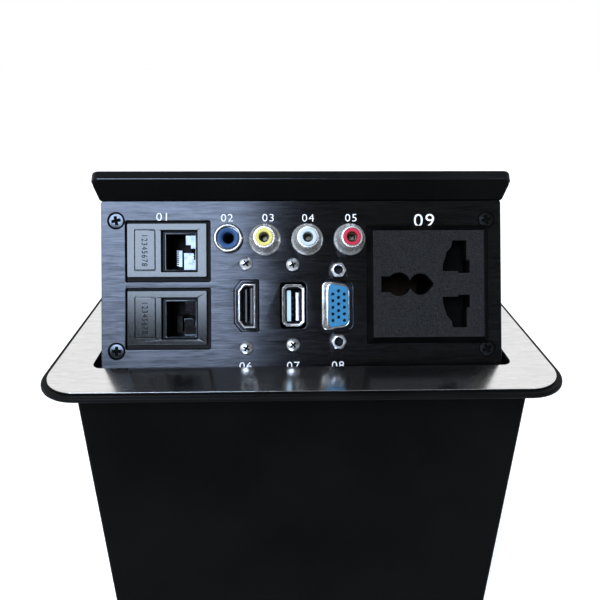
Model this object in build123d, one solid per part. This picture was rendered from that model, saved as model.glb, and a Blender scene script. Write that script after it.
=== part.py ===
import os
from math import acos, atan2, cos, degrees, hypot, pi, radians, sin, tan

from build123d import *

# Conference table socket panel, lid open. Millimetres, +Z up, the user sits at -Y.
# The origin is the centre of the opening on the table top, where the rim rests.

# Driving dimensions: frame and housing
opening_width = 147.2
opening_depth = 100.0
opening_radius = 3.5
flange_height = 2.5
face_thickness = 0.8
face_width = 173.8
face_depth = 130.0
face_radius = 13.0
rim_overhang = 2.2
box_width = 157.2
box_depth = 110.2
box_height = 120.0
sheet = 1.2
seat_recess = 0.4
seat_opening = (160.0, 113.0)

# Driving dimensions: lid and its hinge
lid_width = 146.6
lid_front_gap = 0.8
lid_skin = 1.8
lid_edge = 3.6
lid_rim = 1.6
lid_radius = 3.0
open_angle = 41.5
press_angle = 1.2
hinge_y = 46.5
hinge_z = -1.9
rod_radius = 1.5
lid_rear_y = 46.8
running_gap = 0.05

# Driving dimensions: tilted panel, measured along its slope from the top of the flange
panel_width = 142.0
panel_top = 57.0
panel_bottom = -8.0
panel_thickness = 2.0
panel_setback = 3.64
panel_lean = 24.9
cheek_half = 71.1
cheek_sheet = 1.2

# Screws through the walls
wall_screw_radius = 1.25
wall_hole_radius = 1.45
tapped_radius = wall_screw_radius + 0.02
wall_screw_head = (2.4, 1.4)

# Positions on the panel: across, up the slope
corner_screws = [(-65.7, 50.0), (65.7, 50.0), (-65.7, 4.0), (65.7, 4.0)]
network_across = -47.5
network_up = {"upper": 39.1, "lower": 15.3}
audio_jack_at = (-26.2, 43.6)
phono_at = {"yellow": (-13.3, 43.1), "white": (1.65, 43.1), "red": (16.7, 43.1)}
digital_at = (-19.9, 19.7)
data_at = (-3.4, 19.8)
fifteen_at = (12.3, 19.6)
mains_at = (44.4, 27.0)
port_screws_at = [(-20.0, 34.7), (-20.0, 4.8), (-3.55, 34.2), (-3.55, 5.8)]
jack_post_pitch = 24.99

# Damper gears
gear_module = 0.8
sector_teeth = 48
pinion_teeth = 12
pressure_angle = 20.0
addendum = 0.6
dedendum = 0.8
backlash = 0.16
pinion_direction = -125.0

nodes = {}


# Frames of reference and small helpers

panel_y = -opening_depth / 2 + panel_setback
panel_z = flange_height
lean = radians(panel_lean)
panel_frame = Plane(
    origin=(0, panel_y, panel_z), x_dir=(1, 0, 0), z_dir=(0, -cos(lean), sin(lean))
).location
hinge_axis = Axis((0, hinge_y, hinge_z), (1, 0, 0))
lid_front_y = -opening_depth / 2 + lid_front_gap
lid_top_z = flange_height
inner_half_width = box_width / 2 - sheet
inner_half_depth = box_depth / 2 - sheet


def on_panel(shape):
    # A shape drawn flat, X across, Y up the slope and Z towards the user
    return panel_frame * shape


def opened(shape):
    # A shape drawn with the lid closed, turned to the open rest position
    return shape.rotate(hinge_axis, -open_angle)


def panel_point(up, out):
    # Side view place (y, z) of a point on the panel
    y = panel_y + up * sin(lean) - out * cos(lean)
    z = panel_z + up * cos(lean) + out * sin(lean)
    return y, z


def swung(point, angle):
    # Side view place of a point after the lid turns by an angle towards closed
    y, z = point[0] - hinge_y, point[1] - hinge_z
    c, s = cos(radians(angle)), sin(radians(angle))
    return hinge_y + y * c - z * s, hinge_z + y * s + z * c


def plate(width, depth, radius, height, x=0.0, y=0.0, z=0.0):
    # A flat plate with rounded corners, lowest face at z
    return Pos(x, y, z) * extrude(RectangleRounded(width, depth, radius), height)


def block(x_low, x_high, y_low, y_high, z_low, z_high):
    # A plain block between two corners
    size = (x_high - x_low, y_high - y_low, z_high - z_low)
    middle = ((x_low + x_high) / 2, (y_low + y_high) / 2, (z_low + z_high) / 2)
    return Pos(*middle) * Box(*size)


def rod(radius, low, high, x=0.0, y=0.0):
    # A round bar along Z from low to high
    return Pos(x, y, (low + high) / 2) * Cylinder(radius, high - low)


def outline(points, low, high):
    # A straight-sided outline drawn in X and Y, thickened along Z
    face = make_face(Polyline(*points, close=True))
    return Pos(0, 0, low) * extrude(face, high - low)


def side_outline(points, x_low, x_high):
    # An outline drawn in the side view (y, z), thickened along X
    face = make_face(Plane.YZ * Polyline(*points, close=True))
    return Pos(x_low, 0, 0) * extrude(face, x_high - x_low, dir=(1, 0, 0))


def along_x(shape):
    # A shape built along Z, turned to point along +X
    return Rot(0, 90, 0) * shape


def along_y(shape):
    # A shape built along Z, turned to point along +Y
    return Rot(-90, 0, 0) * shape


def cross_recess(top, size, depth):
    # The cross-shaped slot of a screw head, cut down from its top
    arm = size * 0.28
    cut = block(-size / 2, size / 2, -arm / 2, arm / 2, top - depth, top + 1)
    return cut + block(-arm / 2, arm / 2, -size / 2, size / 2, top - depth, top + 1)


def pan_screw(radius, length, head_radius, head_height):
    # Pan-head screw, head resting on z = 0 and shank below
    head = rod(head_radius, 0, head_height)
    head = fillet(head.edges().group_by(Axis.Z)[-1], head_height * 0.55)
    recess = cross_recess(head_height, head_radius * 1.15, head_height * 0.6)
    return head - recess + rod(radius, -length, 0.1)


def flush_screw(radius, length, head_radius):
    # Countersunk screw, head flush with z = 0
    cone_height = head_radius - radius
    cone = Pos(0, 0, -cone_height / 2) * Cone(radius, head_radius, cone_height)
    return cone + rod(radius, -length, 0.0) - cross_recess(0, head_radius * 1.1, 0.9)


def flush_seat(radius, head_radius, depth, clearance=0.05):
    # The cut that a countersunk screw lies in
    cone_height = head_radius - radius
    cone = Pos(0, 0, -cone_height / 2) * Cone(
        radius + clearance, head_radius + clearance, cone_height + 0.001
    )
    return cone + rod(radius + clearance, -depth, 0.01)


def hexagon(across_flats, low, high, x=0.0, y=0.0):
    # A six-sided bar along Z
    face = RegularPolygon(across_flats / 2, 6, major_radius=False)
    return Pos(x, y, low) * extrude(face, high - low)


# The frame that shows on the table

rim_top_round = 0.9
rim_foot_round = 0.5
bezel_screws_y = [-30.0, 10.0]
bezel_screw_z = -4.0
lug_depth = 8.0
lug_thickness = 2.3
lug_y = (-40.0, 20.0)
bezel_lug_half = inner_half_width - 0.1


def make_bezel_frame():
    # Black rim: a plate with rounded edges, two lugs that hang inside the housing,
    # and a shallow recess below that the housing's top edge sits in
    height = flange_height - face_thickness
    width = face_width + 2 * rim_overhang
    depth = face_depth + 2 * rim_overhang
    rim = plate(width, depth, face_radius + rim_overhang, height)
    rim = fillet(rim.edges().group_by(Axis.Z)[-1], rim_top_round)
    rim = fillet(rim.edges().group_by(Axis.Z)[0], rim_foot_round)
    rim -= plate(opening_width, opening_depth, opening_radius, 10, z=-5)
    rim -= plate(*seat_opening, 2.0, seat_recess + 1, z=-1)
    for side in (-1, 1):
        lug_x = sorted((side * (bezel_lug_half - lug_thickness), side * bezel_lug_half))
        rim += block(*lug_x, *lug_y, -lug_depth, seat_recess + 0.1)
        for y in bezel_screws_y:
            hole = Pos(0, y, bezel_screw_z) * along_x(rod(tapped_radius, -90, 90))
            rim -= hole & block(*lug_x, *lug_y, -lug_depth, 0)
    return rim


face_edge = 0.25


def make_face_plate():
    # Brushed silver plate that lies on the rim
    low = flange_height - face_thickness
    shape = plate(face_width, face_depth, face_radius, face_thickness, z=low)
    shape = chamfer(shape.edges().group_by(Axis.Z)[-1], face_edge)
    return shape - plate(opening_width, opening_depth, opening_radius, 10, z=-5)


# The housing below the table

side_holes_y = [-40.0, 40.0]
side_holes_z = -45.0
side_hole_radius = 2.1
outlet_x = [-38.0, 38.0]
outlet_z = -92.0
outlet_radius = 10.0
outlet_bore = 7.0
base_screws_y = [-32.0, 32.0]
base_screw_z = -box_height + 7.0
fold_radius = 1.8


def make_housing():
    # Folded sheet box, open above and below
    shape = plate(box_width, box_depth, fold_radius, box_height + seat_recess, z=-box_height)
    inner_size = (2 * inner_half_width, 2 * inner_half_depth)
    inner = plate(*inner_size, fold_radius - sheet, box_height + 2)
    shape -= Pos(0, 0, -box_height - 1) * inner
    for y in side_holes_y:
        shape -= Pos(0, y, side_holes_z) * along_x(rod(side_hole_radius, -90, 90))
    for y in bezel_screws_y:
        shape -= Pos(0, y, bezel_screw_z) * along_x(rod(wall_hole_radius, -90, 90))
    for y in base_screws_y:
        shape -= Pos(0, y, base_screw_z) * along_x(rod(wall_hole_radius, -90, 90))
    for y, z in bracket_screws_at:
        shape -= Pos(0, y, z) * along_x(rod(wall_hole_radius, -90, 90))
    for y, z in damper_screws_at:
        shape -= Pos(0, y, z) * along_x(rod(wall_hole_radius, -90, 0))
    for x in outlet_x:
        shape -= Pos(x, 0, outlet_z) * along_y(rod(outlet_radius, 0, 90))
    return shape


base_flange_height = 13.0
base_flange_half = 44.0
earth_at = (60.0, -30.0)
earth_stud_radius = 2.0
earth_stud_height = 11.0


def make_bottom_plate():
    # Base with two turned-up edges that the screws hold
    inner_width = 2 * inner_half_width - 0.2
    inner_depth = 2 * inner_half_depth - 0.2
    floor_z = -box_height
    shape = plate(inner_width, inner_depth, fold_radius - sheet, sheet, z=floor_z)
    flange_top = floor_z + base_flange_height
    for side in (-1, 1):
        x = sorted((side * inner_width / 2, side * (inner_width / 2 - sheet)))
        shape += block(*x, -base_flange_half, base_flange_half, floor_z, flange_top)
        for y in base_screws_y:
            hole = Pos(0, y, base_screw_z) * along_x(rod(tapped_radius, -90, 90))
            shape -= hole & block(*x, -base_flange_half, base_flange_half, floor_z, flange_top)
    for x, y in latch_screws_at:
        shape -= rod(tapped_radius, floor_z - 1, floor_z + sheet + 1, x, y)
    shape -= rod(earth_stud_radius + 0.05, floor_z - 1, floor_z + sheet + 1, *earth_at)
    return shape


def wall_screws(places, length, sides=(-1, 1)):
    # Pan-head screws driven inwards through the side walls
    group = []
    for side in sides:
        for y, z in places:
            screw = pan_screw(wall_screw_radius, length, *wall_screw_head)
            turned = Rot(0, 90 * side, 0) * screw
            group.append(Pos(side * box_width / 2, y, z) * turned)
    return Compound(children=group)


grommet_radius = outlet_radius + 2.5
grommet_lip = 1.8
grommet_round = 0.8


def make_grommets():
    # Rubber rings in the rear wall, grooved to hold the sheet edge
    group = []
    for x in outlet_x:
        ring = rod(grommet_radius, -grommet_lip, sheet + grommet_lip)
        ring = fillet(ring.edges().group_by(Axis.Z)[-1], grommet_round)
        groove = rod(2 * grommet_radius, 0, sheet) - rod(outlet_radius, -1, sheet + 1)
        ring -= groove
        ring -= rod(outlet_bore, -10, 10)
        group.append(Pos(x, inner_half_depth, outlet_z) * along_y(ring))
    return Compound(children=group)


earth_nut = (7.0, 3.2)
earth_washer = (4.5, 1.0)


def make_earth_stud():
    # Threaded stud with a washer and nut, for the protective earth lead
    floor_z = -box_height + sheet
    washer_top = floor_z + earth_washer[1]
    washer = rod(earth_washer[0], floor_z, washer_top, *earth_at)
    nut = hexagon(earth_nut[0], washer_top, washer_top + earth_nut[1], *earth_at)
    stud = rod(earth_stud_radius, floor_z - sheet, floor_z + earth_stud_height, *earth_at)
    return nut + washer + stud


# Hinge brackets, rod and springs

bracket_half = 73.9
bracket_y = (40.0, 53.0)
bracket_low = -16.0
bracket_screws_at = [(43.5, -11.0), (49.5, -11.0)]


def make_hinge_brackets():
    # Blocks on the side walls, each with an open slot that the rod turns in
    group = []
    for side in (-1, 1):
        x = sorted((side * bracket_half, side * inner_half_width))
        body = block(*x, *bracket_y, bracket_low, -0.2)
        slot = Pos(0, hinge_y, hinge_z) * along_x(rod(rod_radius + running_gap, -90, 90))
        slot_half = rod_radius + running_gap
        slot += block(-90, 90, hinge_y - slot_half, hinge_y + slot_half, hinge_z, 5)
        body -= slot
        for y, z in bracket_screws_at:
            body -= Pos(0, y, z) * along_x(rod(tapped_radius, -90, 90))
        group.append(body)
    return Compound(children=group)


rod_half = 77.2
clip_radius = 2.3


def make_hinge_rod():
    # Full-width rod with a clip on each side of the cradle's cheeks
    shape = along_x(rod(rod_radius, -rod_half, rod_half))
    for side in (-1, 1):
        inner = cheek_half - cheek_sheet
        clip = sorted((side * (inner - 0.8), side * (inner - 0.1)))
        shape += along_x(rod(clip_radius, *clip))
    return Pos(0, hinge_y, hinge_z) * shape


spring_wire = 0.9
spring_turns = 7
spring_mean_radius = 2.1
spring_x = [-34.0, 34.0]
spring_leg = 13.0
spring_leg_dip = 12.5


def make_torsion_springs():
    # Wound sleeves round the rod, one leg under the lid and one on the rear wall
    group = []
    for x in spring_x:
        half = spring_turns * spring_wire / 2
        outer = spring_mean_radius + spring_wire / 2
        sleeve = along_x(rod(outer, -half, half) - rod(rod_radius + 0.12, -half, half))
        sleeve = Pos(x, hinge_y, hinge_z) * sleeve
        leg_x = half - spring_wire / 2
        lid_leg = Rot(90 + spring_leg_dip, 0, 0) * rod(0.4, 0, spring_leg)
        lid_leg = opened(Pos(x - leg_x, hinge_y, hinge_z + spring_mean_radius) * lid_leg)
        wall_leg = Pos(x + leg_x, hinge_y + spring_mean_radius, hinge_z) * rod(0.4, -spring_leg, 0)
        group.append(sleeve + lid_leg + wall_leg)
    return Compound(children=group)


bumper_x = [-45.0, 45.0]
bumper_half = 12.0
bumper_y = (-53.4, -50.3)
bumper_foot = -1.0


def make_stop_bumpers():
    # Rubber pads under the front of the rim, where the panel's lip comes to rest
    pads = [
        block(x - bumper_half, x + bumper_half, *bumper_y, bumper_foot, seat_recess)
        for x in bumper_x
    ]
    return Compound(children=pads)


# Damper and its gears

pitch_sector = gear_module * sector_teeth / 2
pitch_pinion = gear_module * pinion_teeth / 2
centre_distance = pitch_sector + pitch_pinion
pinion_y = hinge_y + centre_distance * cos(radians(pinion_direction))
pinion_z = hinge_z + centre_distance * sin(radians(pinion_direction))
sector_x = (-73.1, -cheek_half)
gear_x = (-73.3, -71.4)
damper_x = (-inner_half_width, -73.9)
damper_radius = 8.0
damper_screws_at = [(pinion_y - 10.6, pinion_z - 2.0), (pinion_y - 3.0, pinion_z - 10.6)]
damper_ear = (2.6, 1.6)
spindle_radius = 1.5


def involute(radius, base_radius):
    # Angle swept by an involute between its base circle and a radius
    if radius <= base_radius:
        return 0.0
    pressure = acos(base_radius / radius)
    return tan(pressure) - pressure


def gear_outline(teeth, first_tooth_angle):
    # Corner points of a spur gear, one tooth centred on the given angle
    pitch = gear_module * teeth / 2
    base = pitch * cos(radians(pressure_angle))
    root = pitch - dedendum
    tip = pitch + addendum
    half_tooth = pi / (2 * teeth) - backlash / (2 * pitch) + involute(pitch, base)
    start = max(root, base)
    radii = [start + (tip - start) * step / 4 for step in range(5)]
    points = []
    for tooth in range(teeth):
        middle = radians(first_tooth_angle) + 2 * pi * tooth / teeth
        rising = [(root, -half_tooth)] if root < base else []
        rising += [(r, -(half_tooth - involute(r, base))) for r in radii]
        for r, a in rising + [(r, -a) for r, a in reversed(rising)]:
            points.append((r * cos(middle + a), r * sin(middle + a)))
    return points


def make_damper_sector():
    # Toothed plate fixed to the left cheek, centred on the hinge
    teeth = gear_outline(sector_teeth, pinion_direction)
    teeth = [(hinge_y + y, hinge_z + z) for y, z in teeth]
    gear = side_outline(teeth, *sector_x)
    reach = pitch_sector * 1.3
    angles = [pinion_direction - 52.5, pinion_direction - 24, pinion_direction + 8]
    wedge = [(hinge_y + 1.8, hinge_z + 1.8), (hinge_y - 2.5, hinge_z + 1.8)]
    wedge += [
        (hinge_y + reach * cos(radians(a)), hinge_z + reach * sin(radians(a))) for a in angles
    ]
    wedge.append((hinge_y + 2.4, hinge_z - 3))
    gear &= side_outline(wedge, -80, -60)
    ring = Pos(sector_x[0], hinge_y, hinge_z) * along_x(rod(15.0, -5, 5) - rod(8.0, -6, 6))
    window = [(-3, -1.2), (-22, -3.5), (-13, -22)]
    window = [(hinge_y + y, hinge_z + z) for y, z in window]
    gear -= ring & side_outline(window, -80, -60)
    gear -= Pos(0, hinge_y, hinge_z) * along_x(rod(rod_radius + 0.02, -90, -60))
    return gear


def make_damper_pinion():
    # Small gear on the damper's spindle, a gap facing the sector's tooth
    towards_hinge = pinion_direction + 180
    gap_offset = 180 / pinion_teeth
    teeth = gear_outline(pinion_teeth, towards_hinge + gap_offset)
    teeth = [(pinion_y + y, pinion_z + z) for y, z in teeth]
    gear = side_outline(teeth, *gear_x)
    spindle = along_x(rod(spindle_radius, -76.0, gear_x[0] + 0.1))
    spindle = Pos(0, pinion_y, pinion_z) * spindle
    return gear + spindle


def make_damper_body():
    # Sealed oil chamber on the left wall, with a two-screw flange
    centre = Pos(0, pinion_y, pinion_z)
    shape = centre * along_x(rod(damper_radius, *damper_x))
    shape = chamfer(shape.edges().group_by(Axis.X)[-1], 0.6)
    ear_radius, ear_height = damper_ear
    for y, z in damper_screws_at:
        dy, dz = y - pinion_y, z - pinion_z
        ear = Pos(0, y, z) * along_x(rod(ear_radius, damper_x[0], damper_x[0] + ear_height))
        link = Pos(damper_x[0] + ear_height / 2, (y + pinion_y) / 2, (z + pinion_z) / 2)
        link = link * Rot(degrees(atan2(dz, dy)), 0, 0) * Box(ear_height, hypot(dy, dz), 4.0)
        shape += ear + link
    for y, z in damper_screws_at:
        shape -= Pos(0, y, z) * along_x(rod(tapped_radius, -90, -60))
    return shape - centre * along_x(rod(spindle_radius + running_gap, -76.2, -60))


# Push latch on the floor of the housing

latch_y = -14.0
latch_travel = 4.0
latch_spring_solid = 9.0
plunger_radius = 3.4
keeper_up = (-9.5, -8.0)
keeper_out = (-14.0, -2.05)
latch_screws_at = [(-12.0, latch_y), (12.0, latch_y)]
latch_width = 11.0
latch_foot = (31.0, 9.0, 2.0)
latch_spring_radii = (1.9, 2.7)


def keeper_height(y):
    # Height of the keeper's underside at a place, lid pressed right down
    pressed = open_angle + press_angle
    near = swung(panel_point(keeper_up[0], keeper_out[1]), pressed)
    far = swung(panel_point(keeper_up[0], keeper_out[0]), pressed)
    share = (y - near[0]) / (far[0] - near[0])
    return near[1] + share * (far[1] - near[1])


plunger_tip_z = keeper_height(latch_y - plunger_radius) - 0.4
latch_top_z = plunger_tip_z - 8.0
plunger_foot_z = plunger_tip_z - 18.0
latch_bore_z = plunger_foot_z - latch_travel - latch_spring_solid


def make_latch_body():
    # Upright moulded sleeve with a screwed foot
    floor_z = -box_height + sheet
    foot_width, foot_depth, foot_height = latch_foot
    height = latch_top_z - floor_z
    shape = plate(latch_width, latch_width, 2.0, height, y=latch_y, z=floor_z)
    shape += plate(foot_width, foot_depth, 2.0, foot_height, y=latch_y, z=floor_z)
    shape -= rod(plunger_radius + running_gap, latch_bore_z, 0, 0, latch_y)
    for x, y in latch_screws_at:
        shape -= rod(wall_hole_radius, floor_z - 1, floor_z + foot_height + 1, x, y)
    return shape


def make_latch_plunger():
    # Sliding pin with a domed tip
    pin = rod(plunger_radius, plunger_foot_z, plunger_tip_z, 0, latch_y)
    return fillet(pin.edges().group_by(Axis.Z)[-1], 1.6)


def make_latch_spring():
    # Sleeve that stands for the coil under the plunger
    inner, outer = latch_spring_radii
    sleeve = rod(outer, latch_bore_z, plunger_foot_z, 0, latch_y)
    return sleeve - rod(inner, latch_bore_z - 1, plunger_foot_z + 1, 0, latch_y)


def make_latch_screws():
    # Two screws through the latch's foot into the base
    floor_z = -box_height + sheet
    screws = [
        Pos(x, y, floor_z + latch_foot[2]) * pan_screw(wall_screw_radius, 3.2, *wall_screw_head)
        for x, y in latch_screws_at
    ]
    return Compound(children=screws)


# Lid and cradle

lid_studs_at = [(-50.0, -30.0), (50.0, -30.0), (-50.0, 20.0), (50.0, 20.0)]
lid_stud_radius = 1.5
lid_stud_reach = 2.9
lid_nut = (5.5, 2.4)
web_top = lid_top_z - lid_skin
web_low = web_top - cheek_sheet
lip_y = lid_front_y + lid_rim + 0.2
lip_top = lid_top_z - lid_edge - 0.05
lip_root = lip_top - 0.75
lip_low = lid_top_z - 8.0
lip_profile = [(-48.9, lip_top), (-46.7, lip_top), (-41.8, lip_low + 1.1), (-42.45, lip_low + 0.1)]
lip_half = (72.8, 71.3)


def make_lid_plate():
    # Lid with a rounded, down-turned edge at the front and sides
    depth = lid_rear_y - lid_front_y
    middle = (lid_rear_y + lid_front_y) / 2
    low = lid_top_z - lid_edge
    shape = plate(lid_width, depth, lid_radius, lid_edge, y=middle, z=low)
    shape = fillet(shape.edges().group_by(Axis.Z)[-1], 0.7)
    shape = fillet(shape.edges().group_by(Axis.Z)[0], 0.5)
    pocket_half = lid_width / 2 - lid_rim
    shape -= block(-pocket_half, pocket_half, lid_front_y + lid_rim, 60, -20, web_top)
    shape -= block(-90, 90, 40, 60, -20, web_top)
    for x, y in lid_studs_at:
        shape += rod(lid_stud_radius, web_low - lid_stud_reach, web_top + 0.1, x, y)
    return opened(shape)


def make_lid_nuts():
    # Nuts that clamp the cradle to the lid's studs
    group = []
    across_flats, height = lid_nut
    for x, y in lid_studs_at:
        nut = hexagon(across_flats, web_low - height, web_low, x, y)
        group.append(opened(nut - rod(lid_stud_radius + 0.02, -20, 20, x, y)))
    return Compound(children=group)


def cheek_outline():
    # Side view of a cheek: along the lid, round the hinge and back under the panel
    front_low = swung_back((lip_y, lip_root))
    front_top = swung_back((lip_y, web_top))
    rear_top = swung_back((hinge_y + 2.4, web_top))
    behind = -panel_thickness - 0.05
    return [
        panel_point(-6.0, behind),
        panel_point(panel_top, behind),
        swung_back((-42.5, lip_low)),
        front_low,
        front_top,
        rear_top,
        (hinge_y + 3.6, hinge_z - 2.4),
        (hinge_y + 1.5, hinge_z - 5.0),
        (38.0, -16.0),
        (18.0, -16.0),
    ]


def swung_back(point):
    # Side view place of a point of the closed lid, in the open rest position
    return swung(point, -open_angle)


def make_lip():
    # Front sheet that slopes from the lid's edge to the top of the panel. It narrows on its
    # way, and its top corners are rounded in plan like the lid's
    top, low = lip_half
    lip = side_outline(lip_profile, -top, top)
    lip &= plate(2 * top, -2 * lip_profile[0][0], lid_radius, 20, z=-15)
    ends = [(-top, lip_top), (-low, lip_low), (low, lip_low), (top, lip_top)]
    front_view = make_face(Plane.XZ * Polyline(*ends, close=True))
    return lip & extrude(front_view, 60, both=True)


web_rear_y = 41.0
tab_inner = 63.2
tab_spans = [(47.5, 55.5), (-5.5, 7.0)]


def make_cradle():
    # Folded sheet: web under the lid, front lip, two cheeks and four screw tabs
    web = block(-cheek_half, cheek_half, lip_y, web_rear_y, web_low, web_top)
    upright = block(-cheek_half, cheek_half, lip_y, lip_y + cheek_sheet, lip_root, web_top)
    shape = opened(web + upright + make_lip())
    for side in (-1, 1):
        x = sorted((side * cheek_half, side * (cheek_half - cheek_sheet)))
        shape += side_outline(cheek_outline(), *x)
        tab_x = sorted((side * cheek_half, side * tab_inner))
        behind = -panel_thickness - 0.05
        for low, high in tab_spans:
            shape += on_panel(block(*tab_x, low, high, behind - cheek_sheet, behind))
    for x, y in lid_studs_at:
        shape -= opened(rod(lid_stud_radius + 0.05, -10, 10, x, y))
    for u, w in corner_screws:
        shape -= on_panel(rod(corner_screw[0] + 0.03, -10, 5, u, w))
    for u, (y, z) in cover_screw_places():
        shape -= Pos(u, y, z) * along_x(rod(1.3, -3, 3))
    return shape - Pos(0, hinge_y, hinge_z) * along_x(rod(rod_radius + 0.01, -90, 90))


# Socket panel with its cut-outs

network_cut = (29.8, 21.6)
digital_cut = (8.8, 18.4)
data_cut = (9.2, 16.4)
fifteen_cut = (10.6, 19.6)
mains_cut = (39.6, 37.2)
corner_screw = (1.47, 6.5, 2.75)
port_screw = (1.5, 6.0, 2.45, 1.7)
audio_hole_radius = 3.6
phono_hole_radius = 4.2
post_hole_radius = 1.6
stop_fold_half = 68.0
stop_fold_out = 4.0


def clipped_corner_outline(width, height, clip):
    # A slot standing on end whose two left corners are cut off
    x, y = width / 2, height / 2
    inner, low = -x + clip[0], y - clip[1]
    return [(x, -y), (x, y), (inner, y), (-x, low), (-x, -low), (inner, -y)]


def tapered_outline(width, height, taper):
    # A D shape standing on end, wide side on the left
    x, y = width / 2, height / 2
    return [(-x, -y), (x, -y + taper), (x, y - taper), (-x, y)]


def rounded_outline(points, radius, low, high):
    # An outline whose upright edges are rounded
    shape = outline(points, low, high)
    return fillet(shape.edges().filter_by(Axis.Z), radius)


def at(place, shape):
    # A shape drawn about its own centre, moved to a place on the panel
    return Pos(place[0], place[1], 0) * shape


def make_socket_panel():
    # Black brushed plate with a stop lip folded forwards at its lower edge
    height = panel_top - panel_bottom
    middle = (panel_top + panel_bottom) / 2
    shape = plate(panel_width, height, 1.0, panel_thickness, y=middle, z=-panel_thickness)
    fold_top = panel_bottom + panel_thickness
    shape += block(-stop_fold_half, stop_fold_half, panel_bottom, fold_top, -1.0, stop_fold_out)
    radius, _, head_radius = corner_screw
    for place in corner_screws:
        shape -= at(place, flush_seat(radius + 0.03, head_radius + 0.05, 5))
    for up in network_up.values():
        shape -= plate(*network_cut, 0.6, 10, x=network_across, y=up, z=-5)
    shape -= at(audio_jack_at, rod(audio_hole_radius, -5, 5))
    for place in phono_at.values():
        shape -= at(place, rod(phono_hole_radius, -5, 5))
    shape -= at(digital_at, outline(clipped_corner_outline(*digital_cut, (2.6, 3.2)), -5, 5))
    shape -= at(data_at, plate(*data_cut, 1.4, 10, z=-5))
    shape -= at(fifteen_at, rounded_outline(tapered_outline(*fifteen_cut, 1.8), 1.8, -5, 5))
    for side in (-1, 1):
        post = (fifteen_at[0], fifteen_at[1] + side * jack_post_pitch / 2)
        shape -= at(post, rod(post_hole_radius, -5, 5))
    shape -= plate(*mains_cut, 1.0, 10, x=mains_at[0], y=mains_at[1], z=-5)
    for place in port_screws_at:
        shape -= at(place, rod(port_screw[0] + 0.05, -5, 5))
    return on_panel(shape)


def make_panel_screws():
    # Four countersunk screws that hold the panel to the cradle
    screws = [on_panel(at(place, flush_screw(*corner_screw))) for place in corner_screws]
    return Compound(children=screws)


keeper_half = 9.0


def make_keeper():
    # Steel angle under the panel's lower edge, which the plunger meets
    shelf = block(-keeper_half, keeper_half, *keeper_up, *keeper_out)
    upright = block(-keeper_half, keeper_half, keeper_up[1], 3.0, -3.5, keeper_out[1])
    return on_panel(shelf + upright)


# Rear cover behind the sockets

cover_half = 68.6
cover_sheet = 1.0
cover_side = [(-3.0, -3.6), (55.8, -3.6), (48.4, -36.0), (-3.0, -36.0)]
cable_slot_x = [-30.0, 30.0]
cable_slot_half = 14.0
cable_slot_out = (-30.0, -16.0)
cover_screws_at = [(6.0, -9.0), (38.0, -9.0)]
cover_screw = (1.22, 4.0, 2.3, 1.0)
cover_boss_radius = 3.0


def make_rear_cover():
    # Shallow sheet tray with a cable slot in its lower wall
    half = cover_half
    low, mouth = cover_side[0]
    deep = cover_side[2][1]
    inside = [
        (low + cover_sheet, mouth + 1),
        (cover_side[1][0] - cover_sheet, mouth + 1),
        (cover_side[1][0] - cover_sheet, mouth),
        (cover_side[2][0] - cover_sheet, deep + cover_sheet),
        (low + cover_sheet, deep + cover_sheet),
    ]
    shape = side_outline(cover_side, -half, half)
    shape -= side_outline(inside, -half + cover_sheet, half - cover_sheet)
    for x in cable_slot_x:
        span = (x - cable_slot_half, x + cable_slot_half)
        shape -= block(*span, low - 1, low + cover_sheet + 1, *cable_slot_out)
    for side in (-1, 1):
        x = sorted((side * (cover_half + 1.3), side * (cover_half - 0.5)))
        for up, out in cover_screws_at:
            shape += Pos(0, up, out) * along_x(rod(cover_boss_radius, *x))
            shape -= Pos(0, up, out) * along_x(rod(cover_screw[0] + 0.03, -90, 90))
    return on_panel(shape)


def cover_screw_places():
    # Where the rear cover's screws pass each cheek
    places = []
    for side in (-1, 1):
        for up, out in cover_screws_at:
            places.append((side * cheek_half, panel_point(up, out)))
    return places


def make_cover_screws():
    # Low-headed screws from outside each cheek into the rear cover
    group = []
    for x, (y, z) in cover_screw_places():
        side = 1 if x > 0 else -1
        screw = pan_screw(*cover_screw)
        group.append(Pos(x, y, z) * (Rot(0, 90 * side, 0) * screw))
    return Compound(children=group)


# Network sockets

network_window = (12.8, 14.8)
network_window_at = 4.0
network_flange = (29.6, 21.4, 0.5)
network_flange_depth = 2.6
network_face = (27.8, 19.4, 0.6)
network_sleeve = (16.4, 18.6, 0.6)
network_sleeve_foot = -17.0
label_at = -8.1
label_rim = (7.4, 14.6, 0.3)
label_field = (6.4, 13.6, 0.3)
jack_block = (12.6, 14.6, 0.3)
jack_depth = (-20.0, -1.0)
jack_cavity_floor = -15.0
jack_steps = [(-2.6, 4.6, 5.9), (-4.4, -2.5, 3.1), (-5.4, -4.3, 1.7)]
contact_pitch = 1.02
contact_side = [(4.59, -14.9), (4.59, -3.4), (4.2, -3.4), (2.0, -12.6), (2.0, -14.9)]


def make_network_frame(up):
    # Moulded insert with a raised face, a bare label field and a square window
    shape = plate(*network_flange, network_flange_depth, z=-network_flange_depth)
    shape += chamfer(plate(*network_face, 1.0).edges().group_by(Axis.Z)[-1], 0.25)
    shape += plate(*network_sleeve, 15.0, x=network_window_at, z=network_sleeve_foot)
    shape -= plate(*network_window, 0.3, 40, x=network_window_at, z=-20)
    label = plate(*label_rim, 0.6, x=label_at, z=0.75)
    shape += label - plate(*label_field, 2, x=label_at, z=1.05)
    return on_panel(at((network_across, up), shape))


def make_network_jack(up):
    # Connector block behind the window; the latch notch is on the left
    low, high = jack_depth
    shape = plate(*jack_block, high - low, z=low)
    cavity = [
        block(left, right, -half, half, jack_cavity_floor, 2) for left, right, half in jack_steps
    ]
    return on_panel(at((network_across + network_window_at, up), shape - cavity))


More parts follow.
